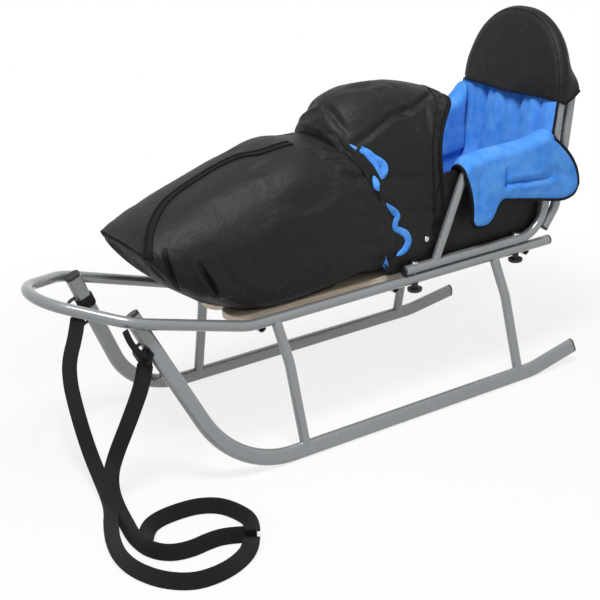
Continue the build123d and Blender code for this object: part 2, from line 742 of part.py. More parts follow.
cover_front_cut = slanted_cut(bag_rear_foot, bag_rear_top).offset(-SEAT_CLEARANCE)
cover_rear_foot = (COVER_REAR_FOOT_X, pad_floor_z)
cover_rear_top = (COVER_REAR_TOP_X, cover_top_z)
cover_rear_cut = slanted_cut(cover_rear_foot, cover_rear_top)
with BuildPart() as lap_cover:
    add(cover_loft(0))
    add(cover_loft(COVER_WALL), mode=Mode.SUBTRACT)
    split(bisect_by=Plane.XY.offset(pad_floor_z), keep=Keep.TOP)
    split(bisect_by=cover_front_cut, keep=Keep.BOTTOM)
    split(bisect_by=cover_rear_cut, keep=Keep.TOP)
save(lap_cover.part, "lap cover")

# Side panels between the lap cover and the back
with BuildPart() as side_panel:
    with BuildSketch(Plane.XZ.offset(-cover_half_width)):
        with BuildLine():
            Polyline(
                (COVER_REAR_TOP_X, pad_floor_z + SIDE_HEIGHT),
                (SIDE_REAR_X - SIDE_HEIGHT * hoop_slope, pad_floor_z + SIDE_HEIGHT),
                (SIDE_REAR_X, pad_floor_z), (SEAT_PAD_FRONT_X, pad_floor_z),
                (SEAT_PAD_FRONT_X, pad_floor_z + SIDE_HEIGHT), close=True,
            )
        make_face()
    extrude(amount=SIDE_THICKNESS)
    split(bisect_by=cover_rear_cut.offset(-SEAT_CLEARANCE), keep=Keep.BOTTOM)
save(side_panel.part, "side panel left")
save(mirror(side_panel.part, about=Plane.XZ), "side panel right")

# Seat pad on the slats
with BuildPart() as seat_pad:
    with BuildSketch(Plane.XY.offset(pad_floor_z)):
        with Locations(((SEAT_PAD_FRONT_X + SEAT_PAD_REAR_X) / 2, 0)):
            RectangleRounded(
                SEAT_PAD_FRONT_X - SEAT_PAD_REAR_X, 2 * seat_pad_half_width, SEAT_PAD_CORNER
            )
    extrude(amount=SEAT_PAD_THICKNESS)
    fillet(seat_pad.faces().sort_by(Axis.Z)[-1].edges(), PAD_EDGE)
save(seat_pad.part, "seat pad")

# Back pad between the posts, in their leaning plane
lean_plane = Plane(
    origin=lean_point(0, HOOP_Z), x_dir=(0, 1, 0),
    z_dir=(lean_cos_hoop, 0, lean_sin_hoop),
)
lean_axis = Axis(lean_plane.origin, lean_plane.z_dir)
hood_top = (HOOP_TOP_Z - HOOP_Z) / lean_cos_hoop
hood_foot = hood_top + hoop_radius + HOOD_SIDE_GAP + HOOD_WALL - HOOD_HEIGHT
back_pad_length = hood_foot + BACK_PAD_TUCK - BACK_PAD_FOOT
with BuildPart() as back_pad:
    with BuildSketch(lean_plane.offset(BACK_PAD_AHEAD - BACK_PAD_THICKNESS)):
        with Locations((0, BACK_PAD_FOOT + back_pad_length / 2)):
            RectangleRounded(2 * back_pad_half_width, back_pad_length, BACK_PAD_CORNER)
    extrude(amount=BACK_PAD_THICKNESS)
    fillet(back_pad.faces().sort_by(lean_axis)[-1].edges(), PAD_EDGE)
save(back_pad.part, "back pad")

# Wings: an inner flap, a fold over the arm tube and a cut outer flap
arm_radius = ARM_DIAMETER / 2
arm_direction = (Vector(*arm_points[1]) - Vector(*arm_points[2])).normalized()
fold_top = arm_radius + SEAT_CLEARANCE
flap_inner_y = cover_half_width - SIDE_THICKNESS - SEAT_CLEARANCE - RAIL_HALF_SPACING
flap_outer_y = max(arm_radius, hoop_radius) + WING_SIDE_GAP
wing_outline = [
    (WING_FRONT_X - WING_LENGTH * back, WING_FOOT_Z + WING_HEIGHT * up)
    for back, up in WING_OUTLINE_SHARES
]


def fold_sketch(thickness):
    """Section of the fold, from its inner opening grown by a thickness to all sides."""
    width = flap_outer_y - flap_inner_y + 2 * thickness
    height = WING_HEIGHT + fold_top + thickness
    with Locations(((flap_outer_y + flap_inner_y) / 2, fold_top + thickness - height / 2)):
        return RectangleRounded(width, height, WING_FOLD_RADIUS - WING_THICKNESS + thickness)


fold_start = Plane(
    origin=Vector(*arm_points[2]) - arm_direction * WING_LENGTH / 2, x_dir=(0, 1, 0),
    z_dir=arm_direction,
)
fold_outer_y = RAIL_HALF_SPACING + flap_outer_y
inner_flap_y = RAIL_HALF_SPACING + flap_inner_y
wing_top_z = WING_FOOT_Z + WING_HEIGHT

# Blocks cut from the fold's inner side: front, rear, outer side and top of each
wing_cuts = [
    (WING_FRONT_X, WING_INNER_FRONT_X, cover_half_width + SEAT_CLEARANCE, wing_top_z),
    (WING_INNER_REAR_X, WING_FRONT_X - WING_LENGTH, inner_flap_y, wing_top_z),
    (WING_FOLD_REAR_X, WING_FRONT_X - WING_LENGTH, fold_outer_y, wing_top_z),
    (WING_FRONT_X, WING_FRONT_X - WING_LENGTH, inner_flap_y, ARM_REAR_Z - WING_INNER_DROP),
]
with BuildPart() as wing:
    with BuildSketch(fold_start):
        fold_sketch(WING_THICKNESS)
    extrude(amount=2 * WING_LENGTH)
    with BuildSketch(fold_start):
        fold_sketch(0)
    extrude(amount=2 * WING_LENGTH, mode=Mode.SUBTRACT)
    with BuildSketch(Plane.XZ.offset(-fold_outer_y - WING_THICKNESS)):
        with BuildLine():
            FilletPolyline(*wing_outline, radius=WING_CORNER, close=True)
        make_face()
    extrude(amount=fold_outer_y, mode=Mode.INTERSECT)
    for front_x, rear_x, outer_y, top_z in wing_cuts:
        with BuildSketch(Plane.XZ.offset(-outer_y)):
            with Locations(((front_x + rear_x) / 2, (WING_FOOT_Z + top_z) / 2)):
                Rectangle(front_x - rear_x, top_z - WING_FOOT_Z)
        extrude(amount=outer_y, mode=Mode.SUBTRACT)
save(wing.part, "wing left")
save(mirror(wing.part, about=Plane.XZ), "wing right")

# Hood: a pocket over the round top of the posts and the push hoop, open below
hood_grow = hoop_radius + HOOD_SIDE_GAP + HOOD_WALL


def behind_posts(x, z):
    """Distance of a point in front of the leaning plane, less than zero behind it."""
    return (x - HOOP_BEND_X) * lean_cos_hoop + (z - HOOP_Z) * lean_sin_hoop


hood_foot_z = HOOP_Z + hood_foot * lean_cos_hoop
push_foot_x = PUSH_BEND_X - (hood_foot_z - PUSH_BEND_Z) * push_slope
hood_rear = behind_posts(push_foot_x, hood_foot_z) - PUSH_DIAMETER / 2 - SEAT_CLEARANCE
hood_front = BACK_PAD_AHEAD + SEAT_CLEARANCE
hood_shoulder = hood_top - shoulder_drop


def hood_body(grow, front, rear):
    """Closed body round the hoop outline, grown by a distance, between two depths."""
    half = [
        (RAIL_HALF_SPACING + grow, hood_foot - 2 * HOOD_EDGE),
        (RAIL_HALF_SPACING + grow, hood_shoulder + grow * shoulder_rise),
        (HOOP_CROWN_HALF_WIDTH + grow * crown_reach, hood_top + grow),
    ]
    outline = half + [(-across, up) for across, up in reversed(half)]
    radii = [shoulder_radius + grow, crown_radius + grow]
    with BuildPart(mode=Mode.PRIVATE) as body:
        with BuildSketch(lean_plane.offset(rear)):
            with BuildLine():
                FilletPolyline(*outline, radius=radii + radii[::-1])
                Line(outline[-1], outline[0])
            make_face()
        extrude(amount=front - rear)
    return body.part


with BuildPart() as hood:
    add(hood_body(hood_grow, hood_front + HOOD_WALL, hood_rear - HOOD_WALL))
    fillet(hood.faces().sort_by(lean_axis)[-1].edges(), HOOD_EDGE)
    fillet(hood.faces().sort_by(lean_axis)[0].edges(), HOOD_EDGE)
    add(hood_body(hood_grow - HOOD_WALL, hood_front, hood_rear), mode=Mode.SUBTRACT)
    foot_plane = Plane(origin=lean_plane.from_local_coords((0, hood_foot, 0)), z_dir=lean_plane.y_dir)
    split(bisect_by=foot_plane, keep=Keep.TOP)
save(hood.part, "hood")
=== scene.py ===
# %% [markdown]
# The sled is a welded frame of silver lacquered steel tube with wooden slats, and a padded
# muff of black nylon lined with blue fleece. The steel, wood and plastic parts come finished
# from the CAD frame and only get materials here. The soft parts and the tow strap are made
# here as surfaces worked out with numpy; the foot bag and lap cover are then swollen a little
# with a cloth simulation.

# %% Load the frame
import json
import bpy
import bmesh
import numpy as np
from mathutils import Matrix


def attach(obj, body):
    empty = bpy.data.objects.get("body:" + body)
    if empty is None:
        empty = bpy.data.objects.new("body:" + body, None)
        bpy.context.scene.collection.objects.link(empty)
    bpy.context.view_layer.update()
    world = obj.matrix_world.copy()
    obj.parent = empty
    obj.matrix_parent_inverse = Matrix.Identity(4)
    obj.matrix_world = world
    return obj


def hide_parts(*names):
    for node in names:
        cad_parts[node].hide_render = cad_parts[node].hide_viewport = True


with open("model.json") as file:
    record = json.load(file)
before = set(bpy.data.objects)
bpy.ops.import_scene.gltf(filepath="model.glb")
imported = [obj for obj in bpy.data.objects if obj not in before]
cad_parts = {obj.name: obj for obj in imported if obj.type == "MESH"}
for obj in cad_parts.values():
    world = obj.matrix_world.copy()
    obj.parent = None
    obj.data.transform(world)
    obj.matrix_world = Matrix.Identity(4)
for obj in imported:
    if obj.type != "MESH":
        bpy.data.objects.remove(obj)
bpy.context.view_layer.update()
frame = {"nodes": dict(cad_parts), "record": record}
nodes = frame["nodes"]
scene = bpy.context.scene

# %% [markdown]
# ## The camera
# The photograph looks down from the left front with a long lens. Its place was worked out by
# fitting rails, runners and legs in perspective. A camera looks along its own -Z, so its
# three axes are built from the direction back to the camera and then turned by the roll.

# %% Camera
CAMERA_PLACE = (1.1969, 1.8910, 1.0881)
CAMERA_AZIMUTH, CAMERA_HEIGHT, CAMERA_ROLL = np.radians((148.32, 21.92, -2.98))
CAMERA_LENS = 79.9

back = np.array((np.sin(CAMERA_AZIMUTH) * np.cos(CAMERA_HEIGHT),
                 -np.cos(CAMERA_AZIMUTH) * np.cos(CAMERA_HEIGHT), np.sin(CAMERA_HEIGHT)))
level = np.cross((0, 0, 1), back)
level /= np.linalg.norm(level)
upright = np.cross(back, level)
camera_x = np.cos(CAMERA_ROLL) * level + np.sin(CAMERA_ROLL) * upright
camera_y = np.cross(back, camera_x)
camera = bpy.data.objects.new("camera", bpy.data.cameras.new("camera"))
camera.data.lens = CAMERA_LENS
camera.data.sensor_width = 36
camera.data.clip_end = 60
turned = np.eye(4)
turned[:3, :3] = np.column_stack((camera_x, camera_y, back))
turned[:3, 3] = CAMERA_PLACE
camera.matrix_world = Matrix(turned.tolist())
scene.collection.objects.link(camera)
scene.camera = camera
print("camera at", CAMERA_PLACE, "lens", CAMERA_LENS)

# %% [markdown]
# ## Helpers for meshes
# Every new piece is a grid: rows and columns of points, all worked out at once as arrays in
# millimetres. One helper numbers the quads, another turns points and quads into an object.

# %% Mesh helpers
MM = 0.001


def grid_faces(rows, cols, wrap=False):
    """Quads between neighbouring rows and columns; wrap joins the last column to the first."""
    row = np.arange(rows - 1)[:, None] * cols
    col = np.arange(cols if wrap else cols - 1)[None, :]
    after = (col + 1) % cols
    quads = (row + col, row + cols + col, row + cols + after, row + after)
    return np.stack(np.broadcast_arrays(*quads), -1).reshape(-1, 4)


def smooth_table(place, knots, values):
    """Cubic through a table: each span is a Hermite curve whose end slopes are the table's own
    central differences, so the value and slope run on from span to span."""
    knots, values = np.asarray(knots, float), np.asarray(values, float)
    place = np.asarray(place, float)
    slopes = np.gradient(values, knots, axis=0)
    span = np.clip(np.searchsorted(knots, place, side="right") - 1, 0, len(knots) - 2)
    width = knots[span + 1] - knots[span]
    step = (place - knots[span]) / width
    if values.ndim > 1:
        width, step = width[..., None], step[..., None]
    rise = (2 * step ** 3 - 3 * step ** 2 + 1) * values[span]
    rise += (step ** 3 - 2 * step ** 2 + step) * width * slopes[span]
    rise += (3 * step ** 2 - 2 * step ** 3) * values[span + 1]
    return rise + (step ** 3 - step ** 2) * width * slopes[span + 1]


def along_line(points, count):
    """Count points, evenly spaced by length, on a smooth curve through the given ones."""
    points = np.asarray(points, float)
    runs = np.r_[0, np.cumsum(np.linalg.norm(np.diff(points, axis=0), axis=1))]
    fine = smooth_table(np.linspace(0, runs[-1], 12 * count), runs, points)
    lengths = np.r_[0, np.cumsum(np.linalg.norm(np.diff(fine, axis=0), axis=1))]
    even = np.linspace(0, lengths[-1], count)
    return np.column_stack([np.interp(even, lengths, fine[:, k]) for k in range(fine.shape[1])])


def superellipse(angle, square):
    """Cosine and sine, each raised to 2 over square with its sign kept: 2 gives a circle and
    larger numbers a rounder and rounder box."""
    cos, sin = np.cos(angle), np.sin(angle)
    return np.sign(cos) * np.abs(cos) ** (2 / square), np.sign(sin) * np.abs(sin) ** (2 / square)


def grid_normals(grid):
    """Unit cross product of the two directions of a grid, at each of its points."""
    normals = np.cross(np.gradient(grid, axis=0), np.gradient(grid, axis=1))
    return normals / np.maximum(np.linalg.norm(normals, axis=-1, keepdims=True), 1e-9)


FOLD_POINTS = 50
FOLD_REACH = 30
FAR_WIDTHS = 9


def crease(points, normals, route, width, depth):
    """Groove along a line on a surface: depth times a bell curve of the distance to the line,
    with a low lip on both sides, fading out towards both ends. Only distance along the surface
    counts, so the line may pass a little above or below it."""
    flat = points.reshape(-1, 3)
    spots = [flat[np.argmin(np.linalg.norm(flat - spot, axis=1))] for spot in np.asarray(route, float)]
    line = along_line(spots, FOLD_POINTS)
    apart = points[:, :, None] - line
    through = np.sum(apart * normals[:, :, None], axis=-1)
    away = np.sqrt(np.maximum(np.sum(apart ** 2, axis=-1) - through ** 2, 0)) / width
    away = np.where(np.abs(through) < FOLD_REACH, away, FAR_WIDTHS)
    fade = np.sqrt(np.sin(np.pi * (away.argmin(axis=-1) + 1) / (FOLD_POINTS + 1)))
    away = away.min(axis=-1)
    return points - normals * (depth * fade * (1 - 0.9 * away ** 2) * np.exp(-away ** 2))[..., None]


def creased(grid, folds, way=1):
    """The grid with each fold drawn on both sides of the sled; way is 1 where the grid's own
    normals point outwards and -1 where they point inwards."""
    for route, width, depth in folds:
        for side in (1, -1):
            mirrored = np.multiply(route, (1, side, 1))
            grid = crease(grid, way * grid_normals(grid), mirrored, width, depth)
    return grid


def make_piece(name, points, faces, materials, merge=0.0, outward=True, face_materials=None):
    """Mesh object from points in millimetres. Points closer than merge millimetres become one,
    and the faces are turned outwards."""
    mesh = bpy.data.meshes.new(name)
    mesh.from_pydata((np.reshape(points, (-1, 3)) * MM).tolist(), [], np.asarray(faces).tolist())
    for material in materials:
        mesh.materials.append(material)
    if face_materials is not None:
        mesh.polygons.foreach_set("material_index", np.asarray(face_materials, np.int32))
    work = bmesh.new()
    work.from_mesh(mesh)
    if merge:
        bmesh.ops.remove_doubles(work, verts=work.verts, dist=merge * MM)
    if outward:
        bmesh.ops.recalc_face_normals(work, faces=work.faces)
    for face in work.faces:
        face.smooth = True
    work.to_mesh(mesh)
    work.free()
    piece = bpy.data.objects.new(name, mesh)
    scene.collection.objects.link(piece)
    return piece


def sweep(path, across, thick, facing, around=16, square=2.0):
    """Tube along a path: at each point a superellipse, across wide in the direction square to
    the path that is nearest to facing, and thick in the third direction. Its ends are closed
    by drawing the last ring in to one point. Sizes are half widths."""
    path = np.asarray(path, float)
    count = len(path)
    tangent = np.gradient(path, axis=0)
    tangent /= np.linalg.norm(tangent, axis=1, keepdims=True)
    facing = np.broadcast_to(np.asarray(facing, float), path.shape)
    side = facing - tangent * np.sum(facing * tangent, axis=1, keepdims=True)
    side /= np.linalg.norm(side, axis=1, keepdims=True)
    third = np.cross(tangent, side)
    cos, sin = superellipse(np.linspace(0, 2 * np.pi, around, endpoint=False), square)
    across = np.broadcast_to(across, count)[:, None, None]
    thick = np.broadcast_to(thick, count)[:, None, None]
    ring = path[:, None] + across * cos[:, None] * side[:, None] + thick * sin[:, None] * third[:, None]
    ends = [np.repeat(path[:1, None], around, 1), np.repeat(path[-1:, None], around, 1)]
    return np.concatenate((ends[0], ring, ends[1])), grid_faces(count + 2, around, wrap=True)


def joined(*meshes):
    """Several point and face arrays as one."""
    points, faces, start = [], [], 0
    for some_points, some_faces in meshes:
        some_points = np.reshape(some_points, (-1, 3))
        points.append(some_points)
        faces.append(np.asarray(some_faces) + start)
        start += len(some_points)
    return np.concatenate(points), np.concatenate(faces)


# %% [markdown]
# ## Helper for padded fabric
# Wadding pushes a sewn cover outwards, and the seams hold it back. Blender's cloth does the
# same: pressure inside, seams pinned, a cover cut slightly larger than its frame so that it
# wrinkles. The step that each point takes is capped, which keeps the piece to its size.

# %% Cloth helper
def coordinates(mesh):
    """The mesh's points as one array."""
    values = np.empty(len(mesh.vertices) * 3)
    mesh.vertices.foreach_get("co", values)
    return values.reshape(-1, 3)


PRESSURE, SPARE_CLOTH, LARGEST_STEP, CLOTH_FRAMES = 2.0, 0.03, 4.0, 16


def puffed(name, grid, faces, seam):
    """Swell a grid of points as cloth, its seam points pinned; each point takes the result's
    step, at most LARGEST_STEP millimetres."""
    piece = make_piece(name, grid, faces, [], outward=False)
    group = piece.vertex_groups.new(name="seam")
    group.add(np.nonzero(np.broadcast_to(seam, grid.shape[:2]).ravel())[0].tolist(), 1.0, "REPLACE")
    cloth = piece.modifiers.new("cloth", "CLOTH")
    cloth.settings.quality = 5
    cloth.settings.mass = 0.2
    cloth.settings.tension_stiffness = 25
    cloth.settings.compression_stiffness = 25
    cloth.settings.bending_stiffness = 0.3
    cloth.settings.use_pressure = True
    cloth.settings.uniform_pressure_force = PRESSURE
    cloth.settings.effector_weights.gravity = 0
    cloth.settings.shrink_min = -SPARE_CLOTH
    cloth.settings.vertex_group_mass = "seam"
    cloth.point_cache.frame_start = 1
    cloth.point_cache.frame_end = CLOTH_FRAMES
    for step in range(1, CLOTH_FRAMES + 1):
        scene.frame_set(step)
    swollen = piece.evaluated_get(bpy.context.evaluated_depsgraph_get())
    result = swollen.to_mesh()
    shift = coordinates(result).reshape(grid.shape) / MM - grid
    swollen.to_mesh_clear()
    scene.frame_set(1)
    bpy.data.objects.remove(piece)
    far = np.linalg.norm(shift, axis=-1, keepdims=True)
    print(name, "swelled by up to", round(float(far.max()), 1), "mm, capped at", LARGEST_STEP)
    return grid + shift * np.minimum(1, LARGEST_STEP / np.maximum(far, 1e-9))


def fixed(piece, stands_for=None):
    """The piece rides on the sled's one body and may stand for a CAD node."""
    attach(piece, "root")
    if stands_for:
        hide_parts(stands_for)
    return piece


def finish_soft(piece, stands_for=None, wall=0.0):
    if wall:
        solid = piece.modifiers.new("wall", "SOLIDIFY")
        solid.thickness = wall * MM
        solid.offset = -1
        solid.material_offset = 1
        solid.material_offset_rim = 0
    smooth = piece.modifiers.new("smooth", "SUBSURF")
    smooth.levels = smooth.render_levels = 1
    fixed(piece, stands_for)


# %% [markdown]
# ## Materials
# Each material starts from what the real one is. Colours are sRGB hex values, turned to
# linear by one function. One small function adds a node with its settings and links.
# Patterns read Object coordinates, in metres, so a scale of 1 / 0.001 is one per millimetre.

# %% Material helpers
def srgb(code):
    """Each channel c becomes ((c + 0.055) / 1.055) to the power 2.4, or c / 12.92 near black."""
    channels = np.array([int(code[i:i + 2], 16) for i in (1, 3, 5)]) / 255
    linear = np.where(channels > 0.04045, ((channels + 0.055) / 1.055) ** 2.4, channels / 12.92)
    return (*linear.tolist(), 1.0)


def add(tree, kind, settings=None, values=None, links=None):
    """Add a node, set its own settings and its sockets' values, and link its sockets."""
    node = tree.nodes.new(kind)
    for name, value in (settings or {}).items():
        setattr(node, name, value)
    for name, value in (values or {}).items():
        node.inputs[name].default_value = value
    for name, source in (links or {}).items():
        tree.links.new(source, node.inputs[name])
    return node


def new_material(name, **values):
    """Material with one Principled shader; values are its sockets, _ for a space."""
    material = bpy.data.materials.new(name)
    material.use_nodes = True
    tree = material.node_tree
    shader = tree.nodes["Principled BSDF"]
    for key, value in values.items():
        shader.inputs[key.replace("_", " ")].default_value = value
    place = add(tree, "ShaderNodeTexCoord").outputs["Object"]
    return material, tree, shader, place


def noise(tree, place, scale, detail=2, **values):
    """Noise with scale cells to a metre, as its output socket."""
    values = {"Scale": scale, "Detail": detail, **values}
    return add(tree, "ShaderNodeTexNoise", values=values, links={"Vector": place}).outputs["Fac"]


def two_tone(tree, shader, pattern, dark, light, low=0.3, high=0.7):
    """Colour that runs from dark to light as a pattern goes from low to high."""
    ramp = add(tree, "ShaderNodeValToRGB", links={"Fac": pattern})
    for stop, position, colour in zip(ramp.color_ramp.elements, (low, high), (dark, light)):
        stop.position = position
        stop.color = srgb(colour)
    tree.links.new(ramp.outputs["Color"], shader.inputs["Base Color"])


def bumped(tree, shader, patterns):
    """Chain of Bump nodes; each entry is a pattern, its height in metres and its strength."""
    normal = None
    for height, distance, strength in patterns:
        links = {"Height": height}
        if normal:
            links["Normal"] = normal
        sizes = {"Distance": distance, "Strength": strength}
        bump = add(tree, "ShaderNodeBump", values=sizes, links=links)
        normal = bump.outputs["Normal"]
    tree.links.new(normal, shader.inputs["Normal"])


# %% [markdown]
# ### Lacquered steel, zinc and wire
# The tubes are welded steel, sprayed with a silver metal-flake lacquer. Flakes in clear lacquer
# make it a metal with a soft, slightly uneven gloss: long bright lines on top of each tube and
# a mid grey body. Spray leaves a fine orange peel about 2 mm wide. Handling dulls it in places.

# %% Metals
silver_lacquer, tree, shader, place = new_material(
    "silver_lacquered_steel_sprayed", Metallic=0.5, Roughness=0.26, Coat_Weight=0.5, Coat_Roughness=0.1)
two_tone(tree, shader, noise(tree, place, 900), "#7b7e80", "#8f9294")
dull = add(tree, "ShaderNodeMapRange", values={"To Min": 0.22, "To Max": 0.31},
           links={"Value": noise(tree, place, 22, 3)})
tree.links.new(dull.outputs["Result"], shader.inputs["Roughness"])
bumped(tree, shader, [(noise(tree, place, 480, 1), 0.0004, 0.12)])

# Bent steel wire with a dark grey dip coat: dull, slightly lumpy.
dipped_wire, tree, shader, place = new_material("dark_dipped_steel_wire", Metallic=0.3, Roughness=0.45)
lumps = noise(tree, place, 260)
two_tone(tree, shader, lumps, "#2c2e31", "#4a4d50")
bumped(tree, shader, [(lumps, 0.0004, 0.3)])

# Zinc-plated bolts: turned heads with a bright, faintly brushed face.
zinc, tree, shader, place = new_material("zinc_plated_steel_turned", Metallic=1.0, Roughness=0.32)
brushed = noise(tree, place, 700, 3)
two_tone(tree, shader, brushed, "#a2a5a6", "#c4c6c6")
bumped(tree, shader, [(brushed, 0.0003, 0.25)])

# Nickel-plated press stud cap: smooth and bright.
nickel, tree, shader, place = new_material("nickel_plated_brass_pressed", Metallic=1.0, Roughness=0.22)
two_tone(tree, shader, noise(tree, place, 500), "#b4b2ab", "#cfcdc6")
print("metals", len(bpy.data.materials))

# %% [markdown]
# ### Plastic and wood
# Plugs, caps and hand knobs are moulded black polyethylene: a low gloss with a fine grain.
# The slats are planed light softwood under clear lacquer: pale, slightly pink, with grain lines
# 2 to 5 mm apart that run along each slat.

# %% Plastic and wood
black_plastic, tree, shader, place = new_material("black_polyethylene_moulded", Roughness=0.42, IOR=1.51)
grain = noise(tree, place, 1500)
two_tone(tree, shader, grain, "#0f1011", "#18191a")
bumped(tree, shader, [(grain, 0.0002, 0.35)])


def stretched(tree, place, scale):
    """Object coordinates multiplied by a scale for each axis: a small one draws a pattern out."""
    return add(tree, "ShaderNodeMapping", values={"Scale": scale}, links={"Vector": place}).outputs["Vector"]


slat_wood, tree, shader, place = new_material(
    "light_softwood_planed_lacquered", Roughness=0.45, Coat_Weight=0.25, Coat_Roughness=0.25)
rings = noise(tree, stretched(tree, place, (3.0, 60.0, 60.0)), 4.5, 6, Distortion=0.6)
pores = noise(tree, stretched(tree, place, (40.0, 1400.0, 1400.0)), 1.0)
two_tone(tree, shader, rings, "#e0c6a8", "#f6e9d6", 0.36, 0.62)
bumped(tree, shader, [(pores, 0.0002, 0.25)])
print("hard materials", len(bpy.data.materials))

# %% [markdown]
# ### Black nylon, blue fleece and black tape
# The shell is a plain weave of nylon with threads 0.3 mm apart, too fine for the picture, so the
# weave is drawn 0.9 mm apart. It has a soft sheen and small crumples 15 to 40 mm across. The
# lining is brushed polyester fleece: no gloss, tiny tufts 1 to 2 mm across and a bright edge
# where the fibres catch the light. Seams are bound with a black tape.

# %% Fabrics
THREAD_TURNS = ((0, 0, 0.6), (0, 1.2, -0.6))


def woven(tree, place, spacing):
    """Two crossed sine waves, each a given number of millimetres from thread to thread."""
    both = add(tree, "ShaderNodeMath", {"operation": "ADD"})
    scale = 0.5 / (spacing * MM) / 3.14
    for number, rotation in enumerate(THREAD_TURNS):
        turned_place = add(tree, "ShaderNodeMapping", values={"Rotation": rotation}, links={"Vector": place})
        wave = add(tree, "ShaderNodeTexWave", {"bands_direction": "X"}, {"Scale": scale, "Distortion": 0.4},
                   {"Vector": turned_place.outputs["Vector"]})
        tree.links.new(wave.outputs["Fac"], both.inputs[number])
    return both.outputs["Value"]


black_nylon, tree, shader, place = new_material(
    "black_nylon_plain_weave", Roughness=0.55, Sheen_Weight=0.03, Sheen_Roughness=0.4, IOR=1.5,
    Specular_IOR_Level=0.22)
crumple = noise(tree, place, 34, 3, Roughness=0.55)
crinkle = noise(tree, place, 130)
two_tone(tree, shader, crinkle, "#0f0f10", "#161617")
bumped(tree, shader, [(crumple, 0.006, 0.35), (crinkle, 0.0012, 0.3),
                      (woven(tree, place, 0.9), 0.0003, 0.25)])

blue_fleece, tree, shader, place = new_material(
    "blue_polyester_fleece_brushed", Roughness=0.95, Sheen_Weight=0.3, Sheen_Roughness=0.5,
    Sheen_Tint=srgb("#7fb4f2"), Specular_IOR_Level=0.15)
patches = noise(tree, place, 45, 3)
two_tone(tree, shader, patches, "#3f86e0", "#5a9cea")
bumped(tree, shader, [(patches, 0.004, 0.3), (noise(tree, place, 620, 3), 0.0012, 0.6)])

black_tape, tree, shader, place = new_material(
    "black_polyester_binding_tape_woven", Roughness=0.7, Specular_IOR_Level=0.15)
ribs = noise(tree, place, 900)
two_tone(tree, shader, ribs, "#08080a", "#101113")
bumped(tree, shader, [(ribs, 0.0006, 0.5)])

# Polypropylene webbing: coarse ribs straight across the tape every 1.6 mm, drawn on its own
# UV map, whose U runs along the tape in metres and whose V runs across it. A wave's scale is
# 0.314 to its spacing.
webbing, tree, shader, place = new_material(
    "black_polypropylene_webbing_woven", Roughness=0.6, Specular_IOR_Level=0.2)
own = add(tree, "ShaderNodeUVMap", {"uv_map": "tape"})
rib, cross = (add(tree, "ShaderNodeTexWave", {"bands_direction": direction},
                  {"Scale": 0.314 / spacing, "Distortion": wobble}, {"Vector": own.outputs["UV"]})
              for direction, spacing, wobble in (("X", 0.0016, 0.5), ("Y", 0.0022, 0.3)))
two_tone(tree, shader, rib.outputs["Fac"], "#0b0b0c", "#161617", 0.2, 0.8)
bumped(tree, shader, [(rib.outputs["Fac"], 0.0007, 0.6), (cross.outputs["Fac"], 0.0004, 0.3)])
print("materials", len(bpy.data.materials))

# %% [markdown]
# ## Materials on the CAD parts
# The hard parts keep their CAD meshes. Each gets the material of its slot in the record.

# %% Dress the CAD parts
BY_SLOT = {"frame_steel": silver_lacquer, "eye_wire": dipped_wire, "bolt_steel": zinc,
           "black_plastic": black_plastic, "slat_wood": slat_wood, "webbing": webbing,
           "shell_fabric": black_nylon, "lining_fleece": blue_fleece}
for part in frame["record"]["subparts"]:
    node = nodes[part["node"]]
    node.data.materials.clear()
    node.data.materials.append(BY_SLOT[part["material_slot"]])

# %% [markdown]
# ## The tow strap
# The strap is flat webbing 26 mm wide. Each leg hangs from its knot, turned flat to the front,
# and comes to lie on edge on the floor. Its line is a NURBS curve over the CAD cord's control
# points, but between knot and floor those of the legs lie up to 17 mm further forward. The tape
# is carried along the line, its width turning from level to upright.

# %% Strap routes, in metres
STRAP_WIDTH = 0.026
STRAP_THICKNESS = 0.0018
LEFT_ROUTE = [(0.4088, 0.1425, 0.2266), (0.4161, 0.1425, 0.1975), (0.434, 0.135, 0.152),
              (0.450, 0.129, 0.115), (0.464, 0.121, 0.080), (0.478, 0.122, 0.049),
              (0.488, 0.142, 0.029), (0.496, 0.178, 0.019), (0.503, 0.222, 0.014),
              (0.511, 0.268, 0.013), (0.508, 0.309, 0.013), (0.488, 0.338, 0.013),
              (0.456, 0.347, 0.013), (0.423, 0.343, 0.013), (0.3952, 0.3459, 0.013),
              (0.3698, 0.3618, 0.013)]
RIGHT_ROUTE = [(0.4088, -0.1174, 0.2199), (0.4161, -0.1174, 0.1908), (0.439, -0.104, 0.154),
               (0.452, -0.077, 0.126), (0.460, -0.044, 0.098), (0.467, -0.008, 0.069),
               (0.474, 0.034, 0.042), (0.481, 0.081, 0.023), (0.490, 0.126, 0.014),
               (0.503, 0.168, 0.012), (0.525, 0.213, 0.013), (0.543, 0.260, 0.013),
               (0.552, 0.306, 0.013), (0.548, 0.350, 0.013), (0.529, 0.394, 0.013),
               (0.496, 0.425, 0.013), (0.457, 0.430, 0.013), (0.418, 0.421, 0.013),
               (0.3831, 0.3982, 0.013), (0.3672, 0.3728, 0.013)]
HAND_ROUTE = [(0.3588, 0.3592, 0.013), (0.3429, 0.3338, 0.013), (0.346, 0.298, 0.013),
              (0.359, 0.263, 0.013), (0.387, 0.243, 0.013), (0.423, 0.238, 0.013),
              (0.459, 0.241, 0.013), (0.486, 0.257, 0.013), (0.502, 0.286, 0.013)]


